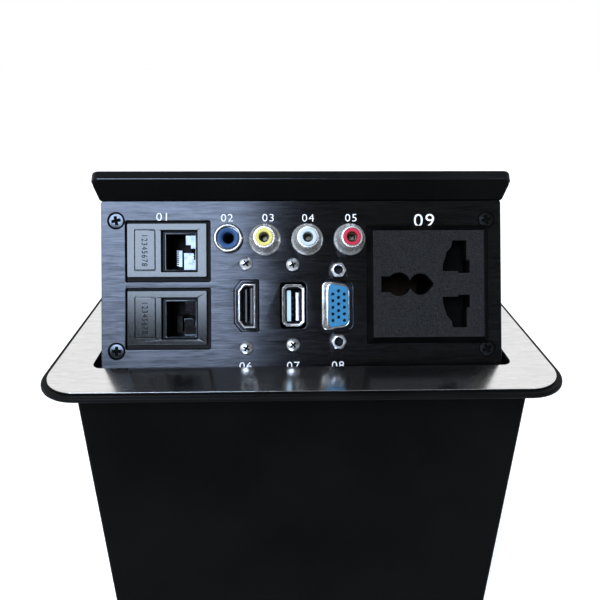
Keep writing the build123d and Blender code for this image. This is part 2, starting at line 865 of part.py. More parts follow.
def make_network_contacts():
    # Eight sprung wires in each socket, side by side on the right
    group = []
    face = make_face(Plane.XZ * Polyline(*contact_side, close=True))
    strip = extrude(face, 0.4, dir=(0, 1, 0))
    for up in network_up.values():
        for wire in range(8):
            offset = (wire - 3.5) * contact_pitch
            place = (network_across + network_window_at, up + offset - 0.2)
            group.append(on_panel(at(place, strip)))
    return Compound(children=group)


# Audio and phono jacks


def make_audio_barrel():
    # Threaded barrel with its ring nut
    barrel = rod(3.55, -8.0, 2.0)
    nut = chamfer(rod(5.15, 0.02, 2.4).edges().group_by(Axis.Z)[-1], 0.5)
    shape = barrel + nut - rod(3.0, -9, 0.5) - rod(3.97, 0.4, 5)
    return on_panel(at(audio_jack_at, shape))


def make_audio_insulator():
    # Blue insert with the plug hole
    ring = fillet(rod(3.95, 0.6, 3.0).edges().group_by(Axis.Z)[-1], 0.5)
    tube = ring + rod(2.95, -7.5, 0.7)
    hole = rod(1.85, -9, 5) + Pos(0, 0, 2.6) * Cone(1.85, 2.35, 1.0)
    return on_panel(at(audio_jack_at, tube - hole))


def make_audio_body():
    # Moulded block behind the panel
    shape = plate(11, 11, 0.8, 14, y=-0.4, z=-22.2)
    return on_panel(at(audio_jack_at, shape - rod(1.85, -20, 5)))


phono_tip = 9.0


def make_phono_shell(place):
    # Silver flange, cone and sleeve
    flange = rod(5.75, 0, 1.1)
    cone = Pos(0, 0, 1.1 + 1.4) * Cone(5.55, 4.35, 2.8)
    sleeve = fillet(rod(4.15, 3.8, phono_tip - 0.5).edges().group_by(Axis.Z)[-1], 0.3)
    shank = rod(4.0, -9.0, 0.1)
    shape = flange + cone + sleeve + shank
    shape -= rod(3.42, -10, phono_tip + 1)
    return on_panel(at(place, shape))


def make_phono_insulator(place):
    # Coloured ring inside the sleeve, flush with its mouth
    shape = rod(3.4, -8.5, phono_tip)
    shape = fillet(shape.edges().group_by(Axis.Z)[-1], 0.4)
    shape -= rod(2.05, 0.5, phono_tip + 1)
    shape -= rod(1.75, -9, phono_tip + 1)
    return on_panel(at(place, shape))


def make_phono_contacts():
    # Split centre sleeves, one in each phono jack
    group = []
    for place in phono_at.values():
        shape = rod(1.73, -16.0, 6.0) - rod(1.25, -6.0, 7)
        shape -= block(-0.2, 0.2, -5, 5, -2, 7)
        group.append(on_panel(at(place, shape)))
    return Compound(children=group)


def make_phono_nuts():
    # Hexagonal nuts behind the panel
    group = []
    for place in phono_at.values():
        nut = hexagon(11.0, -4.6, -panel_thickness - 0.02) - rod(4.02, -9, 2)
        group.append(on_panel(at(place, nut)))
    return Compound(children=group)


# Digital video, data and fifteen-pin ports


def make_digital_collar():
    # Black moulded surround in the panel's cut-out
    outer = outline(clipped_corner_outline(8.6, 18.2, (2.5, 3.1)), -12.0, -0.3)
    inner = outline(clipped_corner_outline(6.0, 15.6, (1.9, 2.5)), -20, 2)
    return on_panel(at(digital_at, outer - inner))


def make_digital_shell():
    # Metal sleeve whose two left corners are cut off
    outer = outline(clipped_corner_outline(5.9, 15.5, (1.85, 2.45)), -13.0, 0.1)
    inner = outline(clipped_corner_outline(5.1, 14.7, (1.6, 2.1)), -12.4, 2)
    return on_panel(at(digital_at, outer - inner))


def make_digital_tongue():
    # Thin tongue that carries the contacts
    tongue = block(-0.75, 0.25, -5.9, 5.9, -12.3, -1.6)
    return on_panel(at(digital_at, tongue))


def make_data_shell():
    # Metal sleeve with lips flared outwards at its mouth
    outer = plate(6.6, 13.6, 0.6, 13.4, z=-13.0)
    flare = plate(8.0, 15.0, 1.0, 0.7, z=-0.1)
    inner = plate(5.8, 12.8, 0.4, 16.0, z=-12.4)
    return on_panel(at(data_at, outer + flare - inner))


def make_data_tongue():
    # Pale moulded tongue near the left wall
    tongue = block(-2.3, -0.5, -5.7, 5.7, -12.3, -1.2)
    return on_panel(at(data_at, tongue))


def make_fifteen_shell():
    # D-shaped sleeve standing out of a rectangular flange behind the panel
    flange = plate(12.6, 30.9, 1.0, 0.8, z=-panel_thickness - 0.85)
    sleeve = rounded_outline(tapered_outline(8.0, 17.0, 1.4), 1.6, -2.4, 5.1)
    rim = rounded_outline(tapered_outline(9.8, 18.8, 1.7), 1.7, -2.2, -0.9)
    shape = flange + sleeve + rim
    shape -= rounded_outline(tapered_outline(7.1, 16.1, 1.3), 1.2, -5, 6)
    for side in (-1, 1):
        shape -= rod(1.55, -9, 9, 0, side * jack_post_pitch / 2)
    return on_panel(at(fifteen_at, shape))


pin_rows = [(-2.0, 0.0), (0.0, 1.145), (2.0, 0.0)]
pin_pitch = 2.29


def make_fifteen_insert():
    # Blue block with three columns of holes
    shape = rounded_outline(tapered_outline(7.0, 16.0, 1.3), 1.15, -12.0, 5.5)
    for across, shift in pin_rows:
        for pin in range(5):
            up = (pin - 2) * pin_pitch + shift - 0.57
            shape -= rod(0.5, -1.0, 9, across, up)
    return on_panel(at(fifteen_at, shape))


def make_jack_posts():
    # Hexagonal posts with threaded mouths, beside the D
    group = []
    for side in (-1, 1):
        post = hexagon(4.75, 0.02, 4.8)
        post = chamfer(post.edges().group_by(Axis.Z)[-1], 0.4)
        post = post - rod(1.25, -1, 6) + rod(1.5, -6.0, 0.1)
        place = (fifteen_at[0], fifteen_at[1] + side * jack_post_pitch / 2)
        group.append(on_panel(at(place, post)))
    return Compound(children=group)


def make_port_screws():
    # Silver pan-head screws beside the two narrow ports
    screws = [on_panel(at(place, pan_screw(*port_screw))) for place in port_screws_at]
    return Compound(children=screws)


# Universal mains socket

mains_base = (43.6, 42.0)
mains_body_depth = (-26.0, -3.0)
mains_body_half = (19.4, 18.2)
mains_body_wall = 1.5
mains_face_out = 2.5
mains_slope = 2.2
shutter_travel = 6.8
live_slot = [
    (52.9, 42.3), (57.7, 42.3), (57.7, 35.3), (58.8, 35.3), (58.8, 30.9), (54.9, 30.9),
    (54.9, 31.6), (49.3, 31.6), (49.4, 33.6), (50.8, 38.2), (52.4, 40.0),
]
shutter_x = (48.4, 59.0)
shutter_stop_x = shutter_x[1] + shutter_travel + 0.2
spring_seat_x = shutter_x[1] - 6.1


def mains_cuts(low, high):
    # The three entries of the mains socket: earth on the left, live and neutral right
    across, up = mains_at
    mirrored = [(x, 2 * up - y) for x, y in live_slot]
    cuts = outline(live_slot, low, high) + outline(mirrored, low, high)
    cuts += block(27.6, 33.8, up - 2.7, up + 2.7, low, high)
    cuts += rod(4.1, low, high, 33.8, up)
    cuts += block(33.8, 41.4, up - 1.4, up + 1.4, low, high)
    cuts += rod(3.75, low, high, 41.4, up)
    point = [(41.4, 3.6), (43.4, 3.1), (46.4, 0.0), (43.4, -3.1), (41.4, -3.6)]
    return cuts + outline([(x, up + y) for x, y in point], low, high)


def make_mains_cover():
    # Moulded cover with sloping sides
    half_width, half_height = mains_base[0] / 2, mains_base[1] / 2
    shape = block(-half_width, half_width, -half_height, half_height, 0, mains_face_out)
    shape = chamfer(shape.edges().group_by(Axis.Z)[-1], mains_slope)
    shape += plate(mains_cut[0] - 0.3, mains_cut[1] - 0.3, 0.8, 3.0, z=-2.9)
    shape = at(mains_at, shape) - mains_cuts(-5, 5)
    return on_panel(shape)


def make_mains_body():
    # Hollow block behind the cover, open to the front
    across, up = mains_at
    half_width, half_height = mains_body_half
    low, high = mains_body_depth
    left, inner = across - half_width, half_height - mains_body_wall
    shape = block(left, shutter_stop_x + 1.0, up - half_height, up + half_height, low, high)
    hollow = (left + mains_body_wall, shutter_stop_x, up - inner, up + inner)
    return on_panel(shape - block(*hollow, low + mains_body_wall, 0))


def make_mains_shutter():
    # Sliding plate that closes the live and neutral slots
    up = mains_at[1]
    shape = block(*shutter_x, up - 15.9, up + 15.9, -7.5, -5.2)
    shape -= block(spring_seat_x - 0.1, shutter_x[1] + 1, up - 1.6, up + 1.6, -9, -4)
    return on_panel(shape)


def make_shutter_spring():
    # Sleeve that stands for the coil which closes the shutter
    up = mains_at[1]
    spring = along_x(rod(1.1, spring_seat_x, shutter_stop_x - 0.1))
    return on_panel(Pos(0, up, -6.35) * spring)


def make_mains_contacts():
    # Brass clips behind each entry
    up = mains_at[1]
    group = []
    for low, high in ((up + 5.0, up + 13.5), (up - 13.5, up - 5.0)):
        clip = block(50.2, 57.4, low, high, -20.0, -9.0)
        clip -= block(51.2, 56.4, low - 1, high + 1, -18.8, -8)
        group.append(on_panel(clip))
    earth = block(30.0, 45.0, up - 4.8, up + 4.8, -20.0, -9.0)
    earth -= block(29, 46, up - 3.8, up + 3.8, -18.8, -8)
    group.append(on_panel(earth))
    return Compound(children=group)


# Build and export

nodes["bezel_frame"] = make_bezel_frame()
nodes["face_plate"] = make_face_plate()
nodes["housing"] = make_housing()
nodes["bottom_plate"] = make_bottom_plate()
nodes["bottom_screws"] = wall_screws([(y, base_screw_z) for y in base_screws_y], 3.0)
nodes["bezel_screws"] = wall_screws([(y, bezel_screw_z) for y in bezel_screws_y], 3.4)
nodes["bracket_screws"] = wall_screws(bracket_screws_at, 4.0)
nodes["damper_screws"] = wall_screws(damper_screws_at, 2.7, sides=(-1,))
nodes["cable_grommets"] = make_grommets()
nodes["earth_stud"] = make_earth_stud()
nodes["hinge_brackets"] = make_hinge_brackets()
nodes["stop_bumpers"] = make_stop_bumpers()
nodes["damper_body"] = make_damper_body()
nodes["damper_pinion"] = make_damper_pinion()
nodes["latch_body"] = make_latch_body()
nodes["latch_screws"] = make_latch_screws()
nodes["latch_plunger"] = make_latch_plunger()
nodes["latch_spring"] = make_latch_spring()

nodes["lid_plate"] = make_lid_plate()
nodes["lid_nuts"] = make_lid_nuts()
nodes["cradle"] = make_cradle()
nodes["hinge_rod"] = make_hinge_rod()
nodes["torsion_springs"] = make_torsion_springs()
nodes["damper_sector"] = make_damper_sector()
nodes["latch_keeper"] = make_keeper()
nodes["socket_panel"] = make_socket_panel()
nodes["panel_screws"] = make_panel_screws()
nodes["rear_cover"] = make_rear_cover()
nodes["cover_screws"] = make_cover_screws()

for name, up in network_up.items():
    nodes[name + "_network_frame"] = make_network_frame(up)
    nodes[name + "_network_jack"] = make_network_jack(up)
nodes["network_contacts"] = make_network_contacts()
nodes["audio_jack_barrel"] = make_audio_barrel()
nodes["audio_jack_insulator"] = make_audio_insulator()
nodes["audio_jack_body"] = make_audio_body()
for name, place in phono_at.items():
    nodes[name + "_phono_shell"] = make_phono_shell(place)
    nodes[name + "_phono_insulator"] = make_phono_insulator(place)
nodes["phono_contacts"] = make_phono_contacts()
nodes["phono_nuts"] = make_phono_nuts()
nodes["digital_video_collar"] = make_digital_collar()
nodes["digital_video_shell"] = make_digital_shell()
nodes["digital_video_tongue"] = make_digital_tongue()
nodes["data_port_shell"] = make_data_shell()
nodes["data_port_tongue"] = make_data_tongue()
nodes["fifteen_pin_shell"] = make_fifteen_shell()
nodes["fifteen_pin_insert"] = make_fifteen_insert()
nodes["jack_posts"] = make_jack_posts()
nodes["port_screws"] = make_port_screws()
nodes["mains_cover"] = make_mains_cover()
nodes["mains_body"] = make_mains_body()
nodes["mains_shutter"] = make_mains_shutter()
nodes["shutter_spring"] = make_shutter_spring()
nodes["mains_contacts"] = make_mains_contacts()

os.makedirs("parts", exist_ok=True)
for name, shape in nodes.items():
    export_step(shape, f"parts/{name}.step")
print(len(nodes), "nodes")
print("plunger tip", round(plunger_tip_z, 3), "pinion centre", round(pinion_y, 3), round(pinion_z, 3))
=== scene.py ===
from math import asin, cos, degrees, pi, radians, sin, tan

import bmesh
import bpy
from mathutils import Matrix, Vector
from mathutils.geometry import tessellate_polygon


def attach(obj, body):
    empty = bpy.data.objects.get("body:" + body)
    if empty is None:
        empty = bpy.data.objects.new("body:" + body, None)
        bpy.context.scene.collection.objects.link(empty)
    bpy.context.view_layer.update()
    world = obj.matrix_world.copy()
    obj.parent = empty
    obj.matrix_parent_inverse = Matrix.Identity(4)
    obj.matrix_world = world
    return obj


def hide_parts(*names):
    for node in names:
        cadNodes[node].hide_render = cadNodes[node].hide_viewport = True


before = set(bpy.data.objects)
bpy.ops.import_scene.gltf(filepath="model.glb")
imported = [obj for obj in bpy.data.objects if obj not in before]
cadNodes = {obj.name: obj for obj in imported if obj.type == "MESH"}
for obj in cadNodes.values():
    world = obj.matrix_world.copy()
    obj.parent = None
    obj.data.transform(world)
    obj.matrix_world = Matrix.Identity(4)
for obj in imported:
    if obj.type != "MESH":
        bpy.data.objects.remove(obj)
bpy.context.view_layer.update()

# Tilt-up socket panel for a conference table. Pieces are drawn in millimetres
# in their own flat frames and placed in metres in the frame of the CAD model.

mm = 0.001
scene = bpy.context.scene

lean = radians(24.9)  # how far the socket panel leans back
openAngle = radians(41.5)  # how far the lid stands open
hinge = Vector((0, 46.5, -1.9))
panelFoot = (-46.36 * mm, 2.5 * mm)  # Y and Z of the line where the panel meets the top of the plate

toMetres = Matrix.Diagonal((mm, mm, mm, 1))
panelFrame = Matrix((  # X across, Y up the slope, Z out towards the user
    (mm, 0, 0, 0),
    (0, mm * sin(lean), -mm * cos(lean), panelFoot[0]),
    (0, mm * cos(lean), mm * sin(lean), panelFoot[1]),
    (0, 0, 0, 1),
))
lidFrame = (  # the lid as it lies when closed, turned open about its hinge
    toMetres
    @ Matrix.Translation(hinge)
    @ Matrix.Rotation(-openAngle, 4, "X")
    @ Matrix.Translation(-hinge)
)


def onPanel(across, up, out=0.0):
    return panelFrame @ Matrix.Translation((across, up, out))


cameraSet = {
    "place": (-0.00543, -0.2144, 0.10326),
    "pitch": 24.59,  # degrees downwards
    "yaw": 1.42,
    "roll": 0.23,
    "lens": 32.98,
    "sensor": 36.0,
    "clip": (0.01, 20.0),
}


def placeCamera():
    pitch, yaw, roll = (radians(cameraSet[key]) for key in ("pitch", "yaw", "roll"))
    forward = Vector((sin(yaw) * cos(pitch), cos(yaw) * cos(pitch), -sin(pitch)))
    right = Vector((cos(yaw), -sin(yaw), 0))
    up = right.cross(forward)
    across = right * cos(roll) + up * sin(roll)
    upright = up * cos(roll) - right * sin(roll)
    turn = Matrix((across, upright, -forward)).transposed().to_4x4()
    data = bpy.data.cameras.new("photoCamera")
    data.lens = cameraSet["lens"]
    data.sensor_width = cameraSet["sensor"]
    data.clip_start, data.clip_end = cameraSet["clip"]
    camera = bpy.data.objects.new("photoCamera", data)
    camera.matrix_world = Matrix.Translation(cameraSet["place"]) @ turn
    scene.collection.objects.link(camera)
    scene.camera = camera


placeCamera()
print("camera placed")


def toLinear(hexCode):
    channels = [int(hexCode[i:i + 2], 16) / 255 for i in (1, 3, 5)]
    linear = [c / 12.92 if c <= 0.04045 else ((c + 0.055) / 1.055) ** 2.4 for c in channels]
    return (*linear, 1.0)


def addNode(tree, kind, sockets=(), give=0, **settings):
    # adds a node, sets its properties, sets or links its sockets, and gives back one output
    node = tree.nodes.new(kind)
    for name, value in settings.items():
        setattr(node, name, value)
    named = sockets if isinstance(sockets, dict) else dict(enumerate(sockets))
    for name, value in named.items():
        for source in value if isinstance(value, list) else [value]:
            if isinstance(source, bpy.types.NodeSocket):
                tree.links.new(source, node.inputs[name])
            else:
                node.inputs[name].default_value = source
    return node.outputs[give] if node.outputs else None


def newMaterial(name, sockets):
    # a material with its shader's plain values set, and the object coordinates to hang patterns on
    material = bpy.data.materials.new(name)
    material.use_nodes = True
    tree = material.node_tree
    shader = tree.nodes["Principled BSDF"]
    for key, value in sockets.items():
        shader.inputs[key].default_value = value
    return material, tree, shader, addNode(tree, "ShaderNodeTexCoord", give="Object")


def pattern(tree, place, size, detail=3.0, roughness=0.5):
    # noise whose grains have the given size in millimetres, the same each way or one for X, Y and Z
    sizes = (size, size, size) if isinstance(size, (int, float)) else size
    scale = tuple(1 / (mm * value) for value in sizes)
    mapped = addNode(tree, "ShaderNodeMapping", {"Vector": place, "Scale": scale})
    return addNode(tree, "ShaderNodeTexNoise", {
        "Vector": mapped, "Scale": 1.0, "Detail": detail, "Roughness": roughness,
    }, give="Fac")


def finishSurface(tree, shader, tone, gloss, relief):
    # colour, roughness and height each follow a pattern: two colours, two numbers,
    # or a depth in millimetres and how strongly it shows
    toneFactor, lowHex, highHex = tone
    glossFactor, low, high = gloss
    reliefFactor, depth, strength = relief
    colour = addNode(tree, "ShaderNodeValToRGB", {"Fac": toneFactor})
    stops = colour.node.color_ramp.elements
    for stop, position, hexCode in zip(stops, (0.3, 0.7), (lowHex, highHex)):
        stop.position, stop.color = position, toLinear(hexCode)
    roughness = addNode(tree, "ShaderNodeMapRange", {
        "Value": glossFactor, "From Min": 0.25, "From Max": 0.75, "To Min": low, "To Max": high,
    })
    normal = addNode(tree, "ShaderNodeBump", {
        "Height": reliefFactor, "Distance": depth * mm, "Strength": strength,
    })
    tree.links.new(colour, shader.inputs["Base Color"])
    tree.links.new(roughness, shader.inputs["Roughness"])
    tree.links.new(normal, shader.inputs["Normal"])


def brushedMetal(name, lowHex, highHex, roughness, streak, depth, pull):
    # sanded in one direction along X: long fine streaks that pull highlights across them
    material, tree, shader, place = newMaterial(name, {
        "Metallic": 1.0, "Anisotropic": pull, "Anisotropic Rotation": 0.25,
    })
    length, height = streak
    fine = pattern(tree, place, (length, height, height), 4.0, 0.65)
    broad = pattern(tree, place, (length * 3, height * 6, height * 6), 2.0)
    share = 0.35
    mixed = addNode(tree, "ShaderNodeMath", (broad, share, fine), operation="MULTIPLY_ADD")
    mixed = addNode(tree, "ShaderNodeMath", (mixed, share / 2), operation="SUBTRACT")
    gloss = (fine, roughness - 0.04, roughness + 0.05)
    finishSurface(tree, shader, (mixed, lowHex, highHex), gloss, (fine, depth, 0.6))
    tangent = addNode(tree, "ShaderNodeCombineXYZ", {"X": 1.0})
    tree.links.new(tangent, shader.inputs["Tangent"])
    return material


def platedMetal(name, lowHex, highHex, roughness, cloud=3.0, metallic=1.0, depth=0.004):
    # plating over turned or pressed brass and steel: bright, with faint clouds and handling marks
    material, tree, shader, place = newMaterial(name, {"Metallic": metallic})
    soft = pattern(tree, place, cloud)
    fine = pattern(tree, place, 0.25, 2.0)
    gloss = (soft, roughness * 0.8, roughness * 1.3)
    finishSurface(tree, shader, (soft, lowHex, highHex), gloss, (fine, depth, 0.5))
    return material


def mouldedPlastic(
    name, lowHex, highHex, roughness, grain, depth, specular=0.5, cloud=12.0, milky=0.0
):
    # injection moulded: an even colour, a fine grain from the mould, slightly uneven gloss
    material, tree, shader, place = newMaterial(name, {
        "Specular IOR Level": specular, "Subsurface Weight": milky, "Subsurface Scale": 1.0 * mm,
    })
    fine = pattern(tree, place, grain, 2.0, 0.6)
    broad = pattern(tree, place, cloud, 2.0)
    gloss = (fine, roughness - 0.07, roughness + 0.07)
    finishSurface(tree, shader, (broad, lowHex, highHex), gloss, (fine, depth, 0.8))
    return material


def coatedSteel(name, lowHex, highHex, roughness, grain, depth, specular):
    # a coat on folded sheet or plate: fine orange peel with a few duller clouds
    material, tree, shader, place = newMaterial(name, {"Specular IOR Level": specular})
    peel = pattern(tree, place, grain, 1.0)
    dust = pattern(tree, place, 0.3, 2.0)
    cloud = pattern(tree, place, 35.0, 3.0)
    dusty = addNode(tree, "ShaderNodeMath", (dust, 0.3, peel), operation="MULTIPLY_ADD")
    gloss = (cloud, roughness - 0.05, roughness + 0.07)
    finishSurface(tree, shader, (cloud, lowHex, highHex), gloss, (dusty, depth, 0.7))
    return material


# each row: the function, the darker and lighter colour, roughness, then the function's own values
finishes = {
    # silver aluminium sheet, long-grain sanded and clear anodised: pale, streaky, never mirror-like
    "brushedAluminium": (brushedMetal, "#d6d6d7", "#efefee", 0.16, (4.0, 0.25), 0.0015, 0.45),
    # the same sheet dyed black: a dark metal that goes pale blue-grey where a window is mirrored
    "blackAnodised": (brushedMetal, "#222326", "#424347", 0.23, (6.0, 0.25), 0.004, 0.95),
    # pressed steel rim in black stove enamel, worn to a satin gloss
    "glossEnamel": (coatedSteel, "#070707", "#0d0d0d", 0.42, 2.2, 0.004, 0.05),
    # lid: satin black anodised aluminium plate, bead blasted, no direction
    "satinBlack": (coatedSteel, "#0b0b0c", "#111112", 0.36, 0.8, 0.004, 0.06),
    # folded steel in matt black powder coat
    "powderCoat": (coatedSteel, "#070706", "#0c0c0b", 0.58, 0.7, 0.012, 0.015),
    # dull zinc plate on steel
    "zincSteel": (platedMetal, "#a9acb1", "#c9ccd0", 0.34, 2.5),
    # tempered spring wire, oiled and slightly dark
    "springSteel": (platedMetal, "#85888d", "#a7a9ac", 0.28, 1.5),
    # countersunk screws in black zinc: a dark metal that turns silver-blue facing the window
    "blackZinc": (platedMetal, "#34373b", "#46494e", 0.2, 1.0),
    # pan screws in bright zinc, greyer and duller than the nickel beside them
    "brightZinc": (platedMetal, "#b0b2b5", "#cfd1d3", 0.3, 0.8),
    # smoked chrome on the contact carriers: near-black, yet a full mirror of the window
    "smokedChrome": (platedMetal, "#3e4146", "#53575c", 0.1, 2.0),
    # dead black, put in the recesses of the screws and round their heads: painted shade for the dark of those
    # recesses
    "recessShadeBlack": (mouldedPlastic, "#040404", "#080808", 0.6, 0.3, 0.003, 0.02),
    # black oxide screws: a dark metal sheen
    "blackOxide": (platedMetal, "#17181a", "#26282b", 0.38, 1.0),
    # bright nickel on brass
    "nickelPlate": (platedMetal, "#aaa8a4", "#c9c7c3", 0.15, 2.0),
    # turned brass shells in satin nickel: softer than the bright plate, pale all round
    "satinNickel": (platedMetal, "#d6d5d2", "#e8e6e2", 0.25, 5.0, 0.78, 0.0006),
    # sprung clips deep in the mains socket and the network contacts: brass gone brown with age, and darkened
    # to near black besides as painted shade for the depth where they sit
    "tarnishAndShadeBrass": (platedMetal, "#140f0b", "#221a14", 0.5, 2.5),
    # sprung bronze inside the phono jacks, coloured dark as painted shade for the shade deep in its bore
    "darkBronze": (platedMetal, "#4b483f", "#625e50", 0.3, 1.0),
    # bare rolled brass of the earth stud
    "rolledBrass": (platedMetal, "#a98545", "#c9a561", 0.3, 2.5),
    # grommets and pads of black rubber, dusty and dull
    "blackRubber": (mouldedPlastic, "#121212", "#1a1a1a", 0.82, 0.5, 0.02, 0.2),
    # black ABS snap-in frames from a polished mould: smooth enough to mirror the window
    "blackAbs": (mouldedPlastic, "#101112", "#161718", 0.13, 0.5, 0.0006, 0.4),
    # connector blocks of glass-filled nylon, dull black
    "jackNylon": (mouldedPlastic, "#0a0a0b", "#101011", 0.5, 0.4, 0.01, 0.15),
    # mains socket of matt flame-proof ABS, its grain coarse enough to show
    "mattAbs": (mouldedPlastic, "#101011", "#2c2c2d", 0.42, 0.42, 0.05, 0.015, 0.36),
    # polished slopes round the mains socket, darker than its grained face: the darker colour is painted shade
    # for slopes that take less light than the face
    "shadedPolishedAbs": (mouldedPlastic, "#040404", "#070707", 0.4, 0.4, 0.004, 0.03),
    # damper housing of dark polycarbonate, slightly shiny
    "damperPlastic": (mouldedPlastic, "#1b1d22", "#25272c", 0.35, 0.5, 0.006),
    # natural nylon gears and sliders, slightly waxy
    "naturalNylon": (mouldedPlastic, "#dcd9cd", "#e9e6dc", 0.42, 0.6, 0.008, 0.5, 12.0, 0.1),
    # insulators and inserts of coloured nylon: even and soft, with hardly any shine
    "bluePlastic": (mouldedPlastic, "#2d688e", "#37739a", 0.5, 0.35, 0.006, 0.12),
    "deepBluePlastic": (mouldedPlastic, "#2c466c", "#35527b", 0.42, 0.35, 0.005, 0.16),
    "yellowPlastic": (mouldedPlastic, "#c2ba6c", "#cec67b", 0.5, 0.4, 0.005, 0.1),
    "whitePlastic": (mouldedPlastic, "#aebcc5", "#bccad2", 0.5, 0.4, 0.005, 0.1),
    "redPlastic": (mouldedPlastic, "#a22c3e", "#b0384a", 0.5, 0.4, 0.005, 0.12),
    "palePlastic": (mouldedPlastic, "#a5c2d0", "#b7d0dc", 0.45, 0.4, 0.005, 0.2),
    # dark grey nylon tongues behind the thin shells
    "greyNylon": (mouldedPlastic, "#4c4f55", "#5a5d63", 0.5, 0.4, 0.005, 0.2),
    # screen-printed numerals, thin and slightly uneven
    "whiteInk": (mouldedPlastic, "#e4e6ea", "#f4f5f7", 0.55, 0.15, 0.004),
}
materials = {name: make(name, *values) for name, (make, *values) in finishes.items()}
print("materials made:", len(materials))


def arc(x, y, radius, start, end, steps=14):
    # points round a centre from one angle to another, in degrees
    turns = [radians(start + (end - start) * step / steps) for step in range(steps + 1)]
    return [(x + radius * cos(turn), y + radius * sin(turn)) for turn in turns]


def circle(radius, x=0.0, y=0.0, steps=40):
    return arc(x, y, radius, 0, 360, steps)[:-1]


def roundedRect(width, height, radius, x=0.0, y=0.0, steps=6):
    right, top = width / 2 - radius, height / 2 - radius
    points = []
    for sideX, sideY, start in ((1, 1, 0), (-1, 1, 90), (-1, -1, 180), (1, -1, 270)):
        points += arc(x + sideX * right, y + sideY * top, radius, start, start + 90, steps)
    return points


def moved(points, x, y):
    return [(px + x, py + y) for px, py in points]


def roundCorners(points, radius, steps=4):
    # rounds each corner of an outline that runs anticlockwise
    rounded = []
    count = len(points)
    for i, corner in enumerate(points):
        here, back, ahead = Vector(corner), Vector(points[i - 1]), Vector(points[(i + 1) % count])
        inward, outward = (back - here).normalized(), (ahead - here).normalized()
        half = inward.angle(outward) / 2
        cut = min(radius / tan(half), 0.45 * min((back - here).length, (ahead - here).length))
        start, end = here + inward * cut, here + outward * cut
        for step in range(steps + 1):
            t = step / steps
            point = start * (1 - t) ** 2 + here * 2 * t * (1 - t) + end * t ** 2
            rounded.append(tuple(point))
    return rounded


def grown(points, distance):
    # an outline moved outwards everywhere by a distance, or inwards if it is negative
    if not distance:
        return list(points)
    result = []
    count = len(points)
    for i, point in enumerate(points):
        before = Vector(point) - Vector(points[i - 1])
        after = Vector(points[(i + 1) % count]) - Vector(point)
        first = Vector((before.y, -before.x)).normalized()
        second = Vector((after.y, -after.x)).normalized()
        step = (first + second) * (distance / max(0.3, 1 + first.dot(second)))
        result.append((point[0] + step.x, point[1] + step.y))
    return result


def edgeRings(high, low, topRound=0.0, lowRound=0.0, steps=3):
    # how far an edge stands in, and at what height, from the top of a plate to its foot
    turns = [pi / 2 * step / steps for step in range(steps + 1)]
    upper = [(topRound * (1 - sin(t)), high - topRound * (1 - cos(t))) for t in turns]
    lower = [(lowRound * (1 - sin(t)), low + lowRound * (1 - cos(t))) for t in reversed(turns)]
    return (upper if topRound else [(0.0, high)]) + (lower if lowRound else [(0.0, low)])


def cutBlock(bm, outer, rings, holes=()):
    # a plate with cut-outs: each outline carries its own rings, and a blind hole its own floor
    tops, feet = [], []

    def cap(rows):
        corners = [vert for row in rows for vert in row]
        for triangle in tessellate_polygon([[vert.co for vert in row] for row in rows]):
            bm.faces.new([corners[i] for i in triangle])

    for hole, (points, levels, blind) in enumerate([(outer, rings, False), *holes]):
        side = 1 if hole else -1
        rows = [
            [bm.verts.new((x, y, height)) for x, y in grown(points, side * inset)]
            for inset, height in levels
        ]
        for upper, lower in zip(rows, rows[1:]):
            for i in range(len(upper)):
                j = (i + 1) % len(upper)
                bm.faces.new((upper[i], upper[j], lower[j], lower[i]))
        tops.append(rows[0])
        if blind:
            cap([rows[-1]])
        else:
            feet.append(rows[-1])
    cap(tops)
    cap(feet)


def turned(bm, profile, x=0.0, y=0.0, steps=48):
    # a closed profile of (radius, height) points turned about an axis along Z
    rows = []
    for radius, height in profile:
        if radius < 1e-6:
            rows.append([bm.verts.new((x, y, height))] * steps)
        else:
            rows.append([bm.verts.new((px, py, height)) for px, py in circle(radius, x, y, steps)])
    for row, lower in zip(rows, rows[1:] + rows[:1]):
        for i in range(steps):
            j = (i + 1) % steps
            corners = list(dict.fromkeys((row[i], row[j], lower[j], lower[i])))
            if len(corners) > 2:
                bm.faces.new(corners)


def box(bm, xs, ys, zs, edge=0.15):
    # a block with softened edges
    outline = roundedRect(xs[1] - xs[0], ys[1] - ys[0], edge, sum(xs) / 2, sum(ys) / 2, 2)
    cutBlock(bm, outline, edgeRings(zs[1], zs[0], edge, edge, 2))


def takeMesh(name, bm, place):
    # places a drawing and turns it into a mesh
    bm.transform(place)
    mesh = bpy.data.meshes.new(name)
    bm.to_mesh(mesh)
    bm.free()
    return mesh


def finishPiece(name, mesh, material, body, slot, *nodes, crease=40, weighted=True):
    # makes the mesh a piece of the object that rides on a body and stands for CAD nodes
    mesh.name = name
    mesh.materials.clear()
    mesh.materials.append(materials[material])
    mesh.shade_smooth()
    mesh.set_sharp_from_angle(angle=radians(crease))
    piece = bpy.data.objects.new(name, mesh)
    scene.collection.objects.link(piece)
    if weighted:
        piece.modifiers.new("flatFaces", "WEIGHTED_NORMAL").keep_sharp = True
    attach(piece, body)
    if nodes:
        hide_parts(*nodes)
    return piece


def shapePiece(name, draw, place, material, body, slot, *nodes, crease=40):
    # draws a shape in millimetres and places it
    bm = bmesh.new()
    draw(bm)
    bmesh.ops.recalc_face_normals(bm, faces=bm.faces)
    finishPiece(name, takeMesh(name, bm, place), material, body, slot, *nodes, crease=crease)


